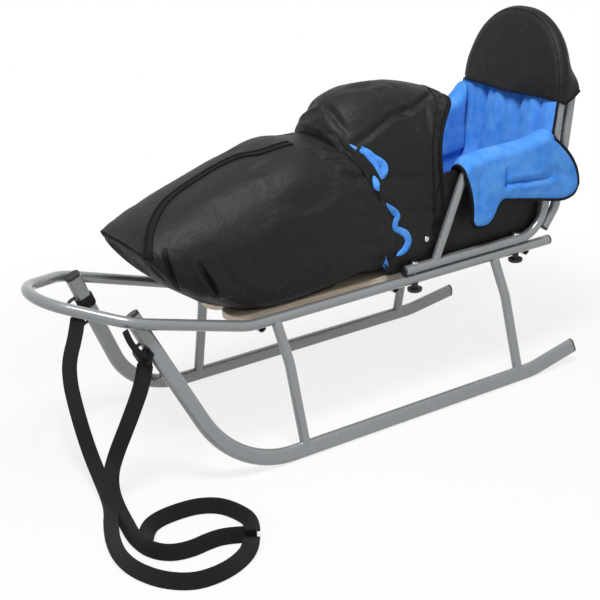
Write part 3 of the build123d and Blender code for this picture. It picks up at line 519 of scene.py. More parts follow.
def route_line(name, route):
    """Points of the NURBS curve whose control points are the route, in millimetres."""
    curve = bpy.data.curves.new(name, "CURVE")
    curve.dimensions = "3D"
    curve.resolution_u = 16
    spline = curve.splines.new("NURBS")
    spline.points.add(len(route) - 1)
    spline.points.foreach_set("co", np.c_[route, np.ones(len(route))].ravel())
    spline.order_u = 3
    spline.use_endpoint_u = True
    holder = bpy.data.objects.new(name, curve)
    scene.collection.objects.link(holder)
    bpy.context.view_layer.update()
    mesh = bpy.data.meshes.new_from_object(holder)
    line = coordinates(mesh) / MM
    bpy.data.objects.remove(holder)
    bpy.data.meshes.remove(mesh)
    return line


def tape(name, line, stands_for):
    """Flat tape along a line, its width square to the line and to the view: it hangs flat,
    then turns on its edge where it runs across the floor."""
    tangent = np.gradient(line, axis=0)
    tangent /= np.linalg.norm(tangent, axis=1, keepdims=True)
    facing = np.cross(tangent, back)
    half_width, half_thick = STRAP_WIDTH / MM / 2, STRAP_THICKNESS / MM / 2
    points, faces = sweep(line, half_width, half_thick, facing, around=12, square=6)
    strip = make_piece(name, points, faces, [webbing], merge=0.01)
    lengths = np.r_[0, np.cumsum(np.linalg.norm(np.diff(line, axis=0), axis=1))] * MM
    own_points = coordinates(strip.data)
    nearest = np.argmin(np.linalg.norm(own_points[:, None] - line[None] * MM, axis=-1), axis=1)
    offset = own_points - line[nearest] * MM
    u = lengths[nearest] + np.sum(offset * tangent[nearest], axis=1)
    v = np.sum(offset * facing[nearest], axis=1)
    uv = strip.data.uv_layers.new(name="tape")
    loops = np.empty(len(strip.data.loops), np.int32)
    strip.data.loops.foreach_get("vertex_index", loops)
    uv.data.foreach_set("uv", np.column_stack((u, v))[loops].astype(np.float32).ravel())
    print(name, "length", round(lengths[-1], 3))
    return fixed(strip, stands_for), lengths[-1]


left_line = route_line("left_route", LEFT_ROUTE)
right_line = route_line("right_route", RIGHT_ROUTE)
hand_line = route_line("hand_route", HAND_ROUTE)
strap_left, left_length = tape("webbing_leg_left", left_line, "strap_left")
strap_right, right_length = tape("webbing_leg_right", right_line, "strap_right")
strap_hand, hand_length = tape("webbing_hand_loop", hand_line, "strap_hand_loop")

# %% [markdown]
# ## Knots
# The far leg is tied to its runner with a turn of tape, and the near leg hangs in a slack loop
# from the wire eye. A knot in wide tape is a small lump of crossing folds, so it is made as one
# tape carried round a trefoil line.

# %% Knots
RUNNER_HALF_DEPTH, RUNNER_HALF_THICK = 14, 7.5
RUNNER_LEAN, RUNNER_RAKE = np.radians((15, 67))
HANG = np.array((0.2419, 0, -0.9703))
KNOT_ABOVE_LEG = 15
KNOT_SIZE = 3.1
# The band's cut: how far off the steel, and how far along the runner
BAND_CUT = [(0.5, -11.6), (1.3, -12), (2.2, -11), (2.4, 0), (2.2, 11), (1.3, 12), (0.5, 11.6), (0.5, 0),
            (0.5, -11.6)]
SLACK_LOOP = [(437, 144, 293), (432, 145, 276), (423, 145, 258), (413, 144, 244), (405, 143, 231)]
# From the knot to the band's middle: back from the front edge, and off the flat
TURN_BACK, TURN_OFF_FLAT = 20, 13


def trefoil(middle, size, axes):
    """Trefoil line: (sin t + 2 sin 2t, cos t - 2 cos 2t, -1.3 sin 3t), scaled and turned."""
    t = np.linspace(0, 2 * np.pi, 90)
    line = (np.sin(t) + 2 * np.sin(2 * t), np.cos(t) - 2 * np.cos(2 * t), -1.3 * np.sin(3 * t))
    return middle + size * np.column_stack(line) @ np.array(axes)


def turn_of_tape(middle, along, out, normal, around=72):
    """Band round an oval runner. Its line is a slot: half circles on both ends of straight
    flats. Its cut is a thin rounded rectangle."""
    angle = np.linspace(0, 2 * np.pi, around, endpoint=False)
    cos, sin = np.cos(angle)[None, :, None], np.sin(angle)[None, :, None]
    cut = np.array(BAND_CUT)
    radius = RUNNER_HALF_THICK + cut[:, :1, None]
    flat = np.tanh(6 * cos) * (RUNNER_HALF_DEPTH - RUNNER_HALF_THICK)
    ring = (radius * cos + flat) * out + radius * sin * normal
    return middle + ring + cut[:, 1:, None] * along, grid_faces(len(cut), around, wrap=True)


def runner_axes(sign):
    """Unit vectors along the runner's raked front, out of its front edge and off its flat."""
    lean_in, lean_up = sign * np.sin(RUNNER_LEAN), np.cos(RUNNER_LEAN)
    along = (np.cos(RUNNER_RAKE), -np.sin(RUNNER_RAKE) * lean_in, np.sin(RUNNER_RAKE) * lean_up)
    out = (np.sin(RUNNER_RAKE), np.cos(RUNNER_RAKE) * lean_in, -np.cos(RUNNER_RAKE) * lean_up)
    return np.array(along), np.array(out), np.array((0, sign * lean_up, np.sin(RUNNER_LEAN)))


for side, sign, route in (("left", 1, LEFT_ROUTE), ("right", -1, RIGHT_ROUTE)):
    along, out, normal = runner_axes(sign)
    knot = np.array(route[0]) / MM - HANG * KNOT_ABOVE_LEG
    lump = sweep(trefoil(knot, KNOT_SIZE, (out, along, normal)), 6, 2.2, along, around=10, square=3)
    neck_line = knot + np.outer(np.linspace(-2, 19, 10), HANG)
    neck = sweep(neck_line, np.linspace(8, 13, 10), np.linspace(5, 1.2, 10), np.cross(HANG, back),
                 around=12, square=4)
    if side == "left":
        hold = sweep(along_line(SLACK_LOOP, 24), 5.5, 2, (0.8, 0.1, 0.55), around=12, square=4)
    else:
        middle = knot - out * TURN_BACK - normal * TURN_OFF_FLAT * sign
        hold = turn_of_tape(middle, along, out, normal)
    points, faces = joined(lump, neck, hold)
    tied = make_piece("webbing_knot_" + side, points, faces, [webbing], merge=0.01)
    tied.data.uv_layers.new(name="tape")
    fixed(tied, "strap_hitch_" + side)
    print("knot", side, knot.round(1))

# %% [markdown]
# ## The foot bag
# The bag is a padded sleeve with a rounded body that flattens to a straight seam at the toe,
# like the end of a pillow. It is lofted: each section is a superellipse, and a table gives the
# section's place, middle, half height, half width, the squareness of its top and foot, and how
# its plane leans and bows. The last section has no height, so the two faces meet in the seam.

# %% Foot bag
BAG_SECTIONS = np.array([
    # x, middle, half height, half width, top square, foot square, lean, bow
    (-84, 366, 123, 122, 2.5, 4.2, 0.328, 0.00149),
    (-20, 370, 126, 126, 2.5, 4.6, 0.220, 0.00090),
    (45, 371, 131, 130, 2.5, 5.2, 0.100, 0.00030),
    (95, 367, 129, 131, 2.5, 5.6, 0.030, 0.0),
    (145, 357, 119, 131, 2.5, 5.6, 0.0, 0.0),
    (205, 350, 106, 128, 2.5, 4.8, 0.0, 0.0),
    (243, 352, 92, 124, 2.5, 4.2, 0.0, 0.0),
    (270, 357, 79, 119, 2.4, 3.8, 0.0, 0.0),
    (293, 361, 67, 114, 2.3, 3.6, 0.0, 0.0),
    (317, 366, 54, 108, 2.2, 3.4, 0.0, 0.0),
    (340, 372, 36, 98, 2.1, 3.0, 0.0, 0.0),
    (355, 376, 19, 88, 2.1, 2.6, 0.0, 0.0),
    (363, 378, 0, 82, 2.2, 2.2, 0.0, 0.0),
])
BAG_COLUMNS = 200
BAG_WALL = 7
SLAT_TOP = 243.6
PINNED_BELOW = 246
LINED_ROWS = 118


def bag_surface(rows=150, cols=BAG_COLUMNS):
    """Loft of the sections: x = place + lean * d + bow * d^2 with d the height above the middle,
    y and z a superellipse of the section's half width and half height."""
    place = np.linspace(0, 1, rows) ** 0.9 * (len(BAG_SECTIONS) - 1)
    knots = np.arange(len(BAG_SECTIONS))
    table = smooth_table(place, knots, BAG_SECTIONS)[:, :, None]
    x, middle, high, wide, top, foot, lean, bow = (table[:, k] for k in range(8))
    angle = np.linspace(0, 2 * np.pi, cols, endpoint=False)[None]
    square = np.where(np.sin(angle) > 0, top, foot)
    cos, sin = superellipse(angle, square)
    rise = np.maximum(high, 0) * sin
    x = x + lean * rise + bow * rise ** 2
    grid = np.stack(np.broadcast_arrays(x, wide * cos, middle + rise), -1)
    grid[..., 2] = np.maximum(grid[..., 2], SLAT_TOP)
    return grid


BAG_FOLDS = [
    # line, width, depth: puckers at the toe, gathers at the rear rim
    ([(335, 101, 394), (331, 98, 377), (324, 96, 354), (305, 85, 322)], 5, 9),
    ([(284, 116, 364), (278, 116, 348), (267, 115, 326), (247, 108, 292)], 5, 10),
    ([(300, 105, 370), (292, 104, 340), (281, 98, 316)], 9, 3),
    ([(345, 80, 372), (338, 84, 350), (322, 84, 336)], 7, 3),
    ([(246, 117, 360), (236, 119, 335), (226, 116, 308)], 9, 3),
    ([(205, 121, 372), (196, 124, 345), (188, 122, 315)], 11, 2.5),
    ([(-52, 108, 434), (-23, 111, 439), (-2, 108, 447)], 8, 6),
    ([(-64, 123, 371), (-36, 124, 372), (-3, 125, 381)], 8, 5),
    ([(-40, 98, 462), (0, 92, 474), (36, 80, 486)], 11, 3),
    ([(-80, 122, 322), (-50, 125, 318), (-20, 126, 322)], 9, 3),
    ([(-90, 118, 285), (-60, 123, 282), (-30, 125, 286)], 9, 2.5),
    ([(-62, 118, 404), (-30, 120, 402), (10, 120, 408)], 10, 2.5),
]
bag_grid = creased(bag_surface(), BAG_FOLDS, way=-1)
bag_faces = grid_faces(*bag_grid.shape[:2], wrap=True)
held = bag_grid[..., 2] < PINNED_BELOW
held[:4] = True
held[-2:] = True
bag_grid = puffed("bag_cloth", bag_grid, bag_faces[:, ::-1], held)
print("bag cloth", bag_grid.shape)

# %% [markdown]
# ### The bag's lining
# The lining is a second grid, the wadding's thickness inside the first. It stops short of the
# toe, where the two faces of the shell meet, and is joined to the shell at the rear rim.

# %% Bag lining
lining = (bag_grid + grid_normals(bag_grid) * BAG_WALL)[:LINED_ROWS]
lining[-1, :, 2] = lining[-1, :, 2].mean()
both = np.concatenate((lining[::-1], bag_grid))
bag_faces = grid_faces(*both.shape[:2], wrap=True)
foot_bag = make_piece("muff_foot_bag", both, bag_faces, [black_nylon, blue_fleece], merge=0.05,
                      face_materials=np.arange(len(bag_faces)) < (LINED_ROWS - 1) * BAG_COLUMNS)
finish_soft(foot_bag, stands_for="foot_bag")
print("foot bag points", len(foot_bag.data.vertices))

# %% [markdown]
# ## The lap cover
# The cover rises out of the bag in a plump bulge and runs back over the child's lap to a bound
# rim. Each section is an arch: its foot runs along the slats and its top along a curved ridge.

# %% Lap cover
COVER_RIDGE = np.array([
    # share, foot x, top x, top z, half width, squareness
    (0.00, -84, -36, 470, 112, 2.5),
    (0.06, -86, -12, 478, 113, 2.5),
    (0.14, -90, -4, 498, 114, 2.5),
    (0.24, -96, -18, 527, 115, 2.45),
    (0.34, -104, -46, 549, 115, 2.4),
    (0.46, -118, -88, 561, 115, 2.4),
    (0.62, -140, -150, 561, 115, 2.4),
    (0.78, -167, -214, 549, 115, 2.8),
    (0.90, -189, -258, 534, 115, 3.2),
    (1.00, -208, -284, 519, 114, 3.6),
])


def cover_surface(rows=104, cols=120):
    """Loft of arches: across and up follow a superellipse, and x runs from foot to top with
    a power of the height, 1 in front (a slanted plane) and 9 at the rim, whose middle reaches
    back while its sides stand upright."""
    share = np.linspace(0, 1, rows)
    table = smooth_table(share, COVER_RIDGE[:, 0], COVER_RIDGE[:, 1:])[:, :, None]
    foot, top, height, wide, square = (table[:, k] for k in range(5))
    angle = np.linspace(0, np.pi, cols)[None]
    cos, sin = superellipse(angle, square)
    slant = sin ** (1 + 8 * share[:, None] ** 3)
    grid = (foot + (top - foot) * slant, wide * cos, SLAT_TOP + (height - SLAT_TOP) * sin)
    return np.stack(np.broadcast_arrays(*grid), -1)


COVER_FOLDS = [
    # line, width, depth
    ([(-240, 40, 532), (-173, 66, 521), (-133, 72, 514), (-94, 78, 502), (-62, 79, 490),
      (-40, 79, 482)], 7, 8),
    ([(-88, 103, 417), (-120, 103, 415), (-146, 104, 410), (-172, 105, 404)], 7, 5),
    ([(-110, 110, 361), (-139, 111, 351), (-172, 112, 345), (-200, 112, 343)], 7, 5),
    ([(-125, 113, 325), (-151, 113, 328), (-172, 113, 332)], 7, 4),
    ([(-30, 20, 540), (-32, 52, 518), (-42, 71, 499)], 12, 4),
    ([(-120, 60, 540), (-150, 75, 522), (-176, 92, 492)], 12, 3),
    ([(-60, 88, 470), (-84, 100, 440), (-96, 106, 400)], 11, 3),
    ([(-210, 60, 528), (-196, 84, 500), (-190, 98, 460)], 10, 3),
    ([(-70, 10, 560), (-110, 20, 562), (-160, 14, 560)], 14, 3),
]
COVER_WALL = 7
cover_grid = creased(cover_surface(), COVER_FOLDS)
held = np.zeros(cover_grid.shape[:2], bool)
for edge in (np.s_[:3], np.s_[-3:], np.s_[:, :2], np.s_[:, -2:]):
    held[edge] = True
cover_faces = grid_faces(*cover_grid.shape[:2])
cover_grid = puffed("cover_cloth", cover_grid, cover_faces, held)
lap_cover = make_piece("muff_lap_cover", cover_grid, cover_faces, [black_nylon, blue_fleece], outward=False)
finish_soft(lap_cover, stands_for="lap_cover", wall=COVER_WALL)
print("lap cover points", len(lap_cover.data.vertices))

# %% [markdown]
# ## Flat padded pieces
# Side panels, seat pad, back pad and wings are two covers sewn together round their edge with
# wadding between. Each is made from one middle surface: both covers leave it by the same
# thickness, which falls to nothing at the edge like the side of a cushion.

# %% Pillow helper
def pillow(middle, half_thick, edge):
    """Two covers on both sides of a middle grid, which meet at its border. The thickness is
    half_thick times a quarter circle of the distance to the border, full past the edge share."""
    rows, cols = middle.shape[:2]
    share = [np.linspace(0, 1, n) for n in (rows, cols)]
    near = [np.clip(np.minimum(s, 1 - s) / edge, 0, 1) for s in share]
    lift = np.minimum(near[0][:, None], near[1][None])
    lift = np.sqrt(np.maximum(1 - (1 - lift) ** 2, 0))[..., None] * np.asarray(half_thick, float)
    normals = grid_normals(middle)
    faces = grid_faces(rows, cols)
    points = np.stack((middle + normals * lift, middle - normals * lift)).reshape(-1, 3)
    both = np.concatenate((faces, faces[:, ::-1] + rows * cols))
    return points, both, np.repeat((0, 1), len(faces))


def piping(name, line, radius):
    """Round binding along a line."""
    points, faces = sweep(line, radius, radius, (0.3, 0.2, 0.9), around=10)
    return fixed(make_piece(name, points, faces, [black_tape], merge=0.01))


# %% [markdown]
# ### Side panels, seat pad and back pad
# The side panels close the space between lap cover and back, black outside and blue inside. The
# back pad leans with the posts and has soft upright folds where the fleece is loose.

# %% Panels and pads
LEAN_BACK = np.radians(10.5)
POST_FOOT = np.array((-427.0, 0.0, 251.5))
UP = np.array((-np.sin(LEAN_BACK), 0.0, np.cos(LEAN_BACK)))
AHEAD = np.array((np.cos(LEAN_BACK), 0.0, np.sin(LEAN_BACK)))


def on_posts(across, up, ahead):
    """Point in the leaning plane of the posts: across, up the slope and in front of it."""
    steps = np.stack(np.broadcast_arrays(across, up, ahead), -1).astype(float)
    return POST_FOOT + steps[..., :1] * (0, 1, 0) + steps[..., 1:2] * UP + steps[..., 2:] * AHEAD


PANEL_FOOT, PANEL_HEIGHT, PANEL_SIDE, PANEL_HALF_THICK = 244, 166, 110.5, 4.2
PANEL_FRONT, PANEL_REAR, PANEL_REAR_CURVE = -206, -396, 44
rise = np.linspace(0, 1, 36)[:, None]
back_share = np.linspace(0, 1, 50)[None]
for side, sign in (("left", 1), ("right", -1)):
    z = PANEL_FOOT + PANEL_HEIGHT * rise
    front = PANEL_FRONT - (z - PANEL_FOOT + 0.5) * 0.01
    curve = 1 - np.exp(-(z - PANEL_FOOT) / 16)
    rear = PANEL_REAR - PANEL_REAR_CURVE * curve - (z - PANEL_FOOT) * 0.02
    x = front + (rear - front) * back_share
    y = PANEL_SIDE + 1.2 * np.sin(9 * back_share) * np.sin(np.pi * rise)
    panel_grid = np.stack(np.broadcast_arrays(x, sign * y, z), -1)
    points, faces, kinds = pillow(panel_grid, PANEL_HALF_THICK, 0.06)
    inside = kinds == (0 if sign == 1 else 1)
    panel = make_piece("muff_side_panel_" + side, points, faces, [black_nylon, blue_fleece],
                       merge=0.02, face_materials=inside.astype(np.int32))
    finish_soft(panel, stands_for="side_panel_" + side)
print("side panels", PANEL_HEIGHT, "mm high")

# %% Seat pad
SEAT_REAR, SEAT_FRONT, SEAT_HALF_WIDTH = -408, -108, 102
SEAT_MIDDLE, SEAT_HALF_THICK = 258.0, 13.5
seat_x = np.linspace(SEAT_REAR, SEAT_FRONT, 70)[:, None]
seat_y = np.linspace(-SEAT_HALF_WIDTH, SEAT_HALF_WIDTH, 60)[None]
seat_grid = np.stack(np.broadcast_arrays(seat_x, seat_y, SEAT_MIDDLE), -1)
points, faces, kinds = pillow(seat_grid, SEAT_HALF_THICK, 0.12)
seat_pad = make_piece("muff_seat_pad", points, faces, [blue_fleece], merge=0.02)
finish_soft(seat_pad, stands_for="seat_pad")
print("seat pad", SEAT_FRONT - SEAT_REAR, "mm long")

# %% [markdown]
# ### The back pad's folds
# The pad wraps forward round the posts at its sides. Each fold is a bell curve across the pad,
# leaning a little with the height, with half as much swell beside it. All fade out towards the
# hood above and the seat below.

# %% Back pad
BACK_HALF, BACK_FOOT, BACK_TOP = 133, 28, 268
BACK_HALF_THICK, BACK_EDGE_HALF_THICK = 11, 3.5
POST_START, POST_BLEND, POST_WRAP = 92, 22, 13
BACK_FOLDS = [
    # place across, width, depth
    (-104, 8, 5), (-72, 14, 12), (-44, 8, 6), (-12, 9, 4), (22, 16, 11), (52, 9, 6), (84, 9, 5),
]
across = np.linspace(-BACK_HALF, BACK_HALF, 130)[None]
up = np.linspace(BACK_FOOT, BACK_TOP, 106)[:, None]
rounded = 1 - 0.22 * np.clip((150 - up) / 108, 0, 1) ** 1.2
folds = 0.0
for centre, width, depth in BACK_FOLDS:
    folds = folds - depth * np.exp(-((across - centre - 0.16 * (up - 210)) / width) ** 2)
    folds = folds + 0.5 * depth * np.exp(-((across - centre - 1.9 * width) / width) ** 2)
fading = 1.25 * np.clip((264 - up) / 26, 0, 1) * np.clip((up - 60) / 60, 0, 1)
past_post = np.clip((np.abs(across) - POST_START) / POST_BLEND, 0, 1)
past_post = past_post ** 2 * (3 - 2 * past_post)
top_in = up - past_post * 19 * (up / BACK_TOP)
ahead = 1 + POST_WRAP * past_post + folds * fading * (1 - 0.7 * past_post)
back_grid = on_posts(across * rounded, top_in, ahead)
thinner = (BACK_HALF_THICK - BACK_EDGE_HALF_THICK) * past_post[..., None]
points, faces, kinds = pillow(back_grid, BACK_HALF_THICK - thinner, 0.08)
back_pad = make_piece("muff_back_pad", points, faces, [blue_fleece], merge=0.02)
finish_soft(back_pad, stands_for="back_pad")
for side, edge in (("left", back_grid[50:, -1]), ("right", back_grid[50:, 0])):
    piping("back_edge_" + side, edge, 1.8)
print("back pad points", len(back_pad.data.vertices))

# %% [markdown]
# ### Wings
# A wing hangs over each arm tube: an inner flap, a fold over the tube, and a shaped outer flap
# with a tab at its front. Each line across the wing goes from the outer flap's cut edge up,
# over the tube in half an ellipse, and down inside.

# %% Wings
WING_EDGE = [(-253, 318), (-258, 306), (-273, 301), (-290, 302), (-303, 315), (-312, 332), (-322, 341),
             (-345, 338), (-385, 330), (-422, 322), (-452, 315), (-480, 313), (-498, 319), (-506, 332)]
WING_RIDGES = {
    "left": [(-238, 428.5), (-300, 433), (-376, 434), (-424, 441), (-447, 446)],
    "right": [(-238, 430), (-320, 441), (-377, 457), (-417, 467), (-436, 480), (-454, 496)],
}
OUTER_SHARE, FOLD_SHARE = 0.55, 0.20
FOLD_MIDDLE, FOLD_HALF_WIDTH, FOLD_HEIGHT = 120.9, 19.1, 16
INNER_EDGE, INNER_SAG = 372, 14
WING_CREASES = [
    # the dimple's upright and level stitches, then two soft folds
    ([(-331, 142, 396), (-331, 142, 380), (-333, 142, 362)], 7, 8),
    ([(-328, 142, 369), (-349, 142, 370), (-375, 142, 367), (-410, 142, 363), (-436, 142, 360)], 8, 9),
    ([(-425, 142, 372), (-455, 142, 366), (-482, 142, 352)], 12, 3),
    ([(-268, 141, 400), (-270, 142, 370), (-274, 142, 340)], 10, 3),
]


def wing_surface(ridge_line, rows=110, cols=130):
    """Middle surface of a wing, on the left. Rows run from front to rear, columns from the outer
    cut edge over the tube to the inner edge: straight up, half an ellipse over, straight down."""
    back_to = np.linspace(0, 1, rows)[:, None]
    share = np.linspace(0, 1, cols)[None]
    edge_x, edge_z = np.split(along_line(WING_EDGE, rows), 2, axis=1)
    ridge_x, ridge_z = np.split(along_line(ridge_line, rows), 2, axis=1)
    ridge_z = ridge_z - 12 * np.clip((0.10 - back_to) / 0.10, 0, 1) ** 2
    down = np.clip(1 - share / OUTER_SHARE, 0, 1)
    over = np.clip((share - OUTER_SHARE) / FOLD_SHARE, 0, 1)
    inside = np.clip((share - OUTER_SHARE - FOLD_SHARE) / (1 - OUTER_SHARE - FOLD_SHARE), 0, 1)
    spring_z = ridge_z - FOLD_HEIGHT
    z = spring_z + FOLD_HEIGHT * np.sin(np.pi * over) + down * (edge_z - spring_z)
    inner_z = INNER_EDGE - INNER_SAG * np.sin(np.pi * back_to)
    z = z + inside * (inner_z - spring_z)
    y = FOLD_MIDDLE + FOLD_HALF_WIDTH * np.cos(np.pi * over)
    y = y + 2.5 * np.sin(np.pi * down) * np.sin(np.pi * back_to)
    bulge = np.sin(np.pi * down) ** 0.8
    x = ridge_x + down * (edge_x - ridge_x) - 17 * bulge * back_to ** 6 - 6 * bulge * (1 - back_to) ** 6
    inner_x = np.clip(ridge_x, -430, -240)
    x = x + np.clip(over * 0.6 + inside, 0, 1) * (inner_x - ridge_x)
    return np.stack(np.broadcast_arrays(x, y, z), -1)


for side, sign in (("left", 1), ("right", -1)):
    wing_grid = wing_surface(WING_RIDGES[side])
    for route, width, depth in WING_CREASES:
        normals = grid_normals(wing_grid)
        wing_grid = crease(wing_grid, normals * np.sign(normals[..., 1:2]), route, width, depth)
    wing_grid = wing_grid * (1, sign, 1)
    points, faces, kinds = pillow(wing_grid, 4.4, 0.07)
    wing = make_piece("muff_wing_" + side, points, faces, [blue_fleece], merge=0.02)
    finish_soft(wing, stands_for="wing_" + side)
    bound = np.concatenate((wing_grid[0, ::-1], wing_grid[1:, 0], wing_grid[-1, 1:75]))
    piping("wing_piping_" + side, bound, 3.7)
print("wings made")

# %% [markdown]
# ## The hood
# The hood is a pocket pulled over the round top of the posts and the push hoop: a front panel,
# a side band as deep as both hoops, and a rear panel, open below. One grid makes all three: its
# rows follow the arched outline, its columns go out over the front, across the band and back.

# %% Hood
HOOD_FOOT = 246.0
# Cut through the side band: how far in from the outline, and how far before the posts' plane
HOOD_BAND = [(23, 19.5), (19, 19.2), (12, 17), (5, 12), (1, 5), (0, -1), (4, -10), (10, -18), (17, -25),
             (25, -31), (33, -34.5)]
# Half of the outline in the posts' plane, from the foot up: across, and up the slope
HOOD_HALF = [(139, HOOD_FOOT), (138.5, 262), (137.5, 278), (134.5, 294), (128.5, 312), (120, 332),
             (108, 352), (91, 371), (69, 387), (45, 397.5), (22, 402.5), (0, 403.5)]
# How far the hem rises at each depth before the posts' plane
HEM_DEPTHS, HEM_RISES = (-36, -20, 0, 12, 19), (24, 10, -3, 2, 4)
HOOD_FAN = 30
HOOD_WALL = 2


def hood_outline(count):
    """Half outline from the foot up, mirrored: nearly straight sides, long shoulders, a round
    crown; each point comes with its outward direction."""
    half = np.array(HOOD_HALF, float)
    line = along_line(np.concatenate((half, (half * (-1, 1))[-2::-1])), count)
    run = np.gradient(line, axis=0)
    run /= np.linalg.norm(run, axis=1, keepdims=True)
    return line, np.column_stack((run[:, 1], -run[:, 0]))


def hood_surface(rows=120, band=30):
    """Rows follow the outline. The columns fan out over the front from the middle of the hem,
    follow the band's cut to the rear, and fan in again. The foot of the band rises rearwards."""
    line, outward = hood_outline(rows)
    cut = along_line(HOOD_BAND, band)
    drawn = 0.1 + 0.9 * np.clip((line[:, 1:] - HOOD_FOOT) / 75, 0, 1) ** 1.3
    drawn = np.where(cut[:, 1] < -2, drawn, 1)
    rim = line[:, None] - outward[:, None] * (drawn * cut[:, 0])[..., None]
    share = np.linspace(0.02, 0.985, HOOD_FAN)
    grow = share[None, :, None]
    hem = np.array((0.0, HOOD_FOOT))
    front = hem + (rim[:, :1] - hem) * grow
    rear = hem + (rim[:, -1:] - hem) * grow[:, ::-1]
    flat = np.concatenate((front, rim, rear), axis=1)
    swell = 1 - share ** 3
    depth = np.concatenate((cut[0, 1] + 3.0 * swell, cut[:, 1], cut[-1, 1] - 2.5 * swell[::-1]))[None]
    across, up = np.abs(flat[..., 0]), flat[..., 1]
    low = np.clip(1 - (up - HOOD_FOOT) / 60, 0, 1)
    up = up + np.interp(depth, HEM_DEPTHS, HEM_RISES) * low * np.clip(across / 90, 0, 1)
    slack = 1.6 * np.sin(up / 14) * np.exp(-((across - 60) / 40) ** 2) * np.clip((320 - up) / 60, 0, 1)
    return on_posts(flat[..., 0], up, depth + np.where(depth > 15, slack, 0))


hood_grid = hood_surface()
hood = make_piece("muff_hood", hood_grid, grid_faces(*hood_grid.shape[:2]), [black_nylon, black_nylon])
finish_soft(hood, stands_for="hood", wall=HOOD_WALL)
piping("hood_front_seam", hood_grid[2:-2, HOOD_FAN + 6], 0.8)
hem_line = np.concatenate((hood_grid[0, ::-1][HOOD_FAN:], hood_grid[-1, :61]))
piping("hood_hem", hem_line[::2], 1.6)
print("hood points", len(hood.data.vertices))

# %% [markdown]
# ## Zip, bindings, ruffled lining and press studs
# The zip of the bag runs over its top and down to the toe, so its points are carried onto the
# finished bag. The lining shows between bag and cover as a folded ribbon of blue fleece. The
# cover's rear rim is bound with two rows of tape, and a press stud sits near its foot.

# %% Trim
def onto(piece, points):
    """The nearest place on a piece to each point, in millimetres, and the surface's normal there."""
    found = [piece.closest_point_on_mesh(point.tolist())[1:3] for point in np.asarray(points, float) * MM]
    return np.array([place for place, _ in found]) / MM, np.array([normal for _, normal in found])


BAG_MIDDLE_Z = 0.385
OUTSIDE = 0.03


def onto_bag(points):
    """The first place of the bag met from 30 mm outside each point, and its normal; outside is
    away from the bag's middle line."""
    points = np.asarray(points, float) * MM
    away = points - points * (0.8, 0, 0) - (0, 0, BAG_MIDDLE_Z)
    away /= np.linalg.norm(away, axis=1, keepdims=True)
    starts = (points + away * OUTSIDE).tolist()
    found = [foot_bag.ray_cast(start, (-way).tolist())[1:3] for start, way in zip(starts, away)]
    return np.array([place for place, _ in found]) / MM, np.array([normal for _, normal in found])


def laid_on(piece, points, lift):
    """Points carried onto a piece and lifted off it."""
    places, normals = onto(piece, points)
    return places + normals * lift


ZIP_LINE = [(54, 35, 501), (80, 35, 499), (105, 28, 496), (127, 10, 486), (147, -4, 477), (171, -10, 469),
            (210, -10, 456), (254, -4, 442), (281, 7, 432), (311, 31, 417), (336, 54, 402), (350, 73, 388),
            (357, 84, 376)]
zip_line, zip_up = onto_bag(along_line(ZIP_LINE, 90))
zip_side = np.cross(np.gradient(zip_line, axis=0), zip_up)
zip_side /= np.linalg.norm(zip_side, axis=1, keepdims=True)
points, faces = sweep(zip_line + zip_up * 0.3, 5.5, 0.9, zip_side, around=12, square=3)
fixed(make_piece("zip_tape", points, faces, [black_tape], merge=0.01))
for turn, name in ((-1, "zip_edge_far"), (1, "zip_edge_near")):
    edge, edge_up = onto_bag(zip_line + zip_side * turn * 6.5)
    piping(name, edge + edge_up * 1.2, 1.9)

TOE_LINE = [(350, -84, 378), (358, -74, 378), (362, -40, 378), (363, 0, 378), (362, 40, 378), (358, 74, 378),
            (350, 84, 378)]
toe_line, toe_out = onto_bag(along_line(TOE_LINE, 60))
piping("toe_seam", toe_line + toe_out * 0.5, 1.8)
print("zip", len(zip_line), "points, toe seam", len(toe_line))

# %% Ribbons of lining
RUFFLES = [
    # the line it follows on the surface, and its half widths from end to end
    ([(-37, 76, 485), (-49, 83, 475), (-61, 88, 468), (-68, 92, 457), (-74, 95, 448),
      (-79, 98, 436), (-83, 102, 420)], (1.5, 3.5, 5, 5.5, 5.5, 5, 2)),
    ([(-56, 84, 479), (-68, 89, 468), (-76, 92, 458), (-84, 95, 451), (-91, 97, 443),
      (-91, 100, 431), (-85, 101, 420)], (1.5, 4, 5.5, 7, 7.5, 7, 3)),
    ([(-64, 106, 431), (-62, 114, 423), (-61, 118, 415), (-64, 120, 408)], (2, 6, 6.5, 2)),
    ([(-79, 120, 382), (-89, 117, 371), (-101, 112, 360), (-107, 112, 351), (-102, 113, 343),
      (-100, 114, 332), (-113, 114, 323), (-123, 115, 314), (-127, 115, 302), (-119, 116, 289),
      (-101, 117, 281)],
     (2, 5, 6.5, 6.5, 6, 6, 7, 7.5, 7.5, 6.5, 2)),
]
for number, (route, halves) in enumerate(RUFFLES):
    for side, sign in (("left", 1), ("right", -1)):
        line = along_line(np.multiply(route, (1, sign, 1)), 70)
        wide = smooth_table(np.linspace(0, 1, 70), np.linspace(0, 1, len(halves)), halves)
        out = onto(lap_cover, line)[1]
        facing = np.cross(np.gradient(line, axis=0), out)
        line = line + out * 2.2
        points, faces = sweep(line, wide, np.clip(wide * 0.5, 1.2, 3.2), facing, around=20)
        ruffle = make_piece(f"lining_ruffle_{side}_{number}", points, faces, [blue_fleece], merge=0.02)
        finish_soft(ruffle)
        facing /= np.linalg.norm(facing, axis=1, keepdims=True)
        cut_edge = line - facing * sign * wide[:, None]
        piping(f"lining_edge_{side}_{number}", cut_edge, 1.2)
print("ribbons", 2 * len(RUFFLES))

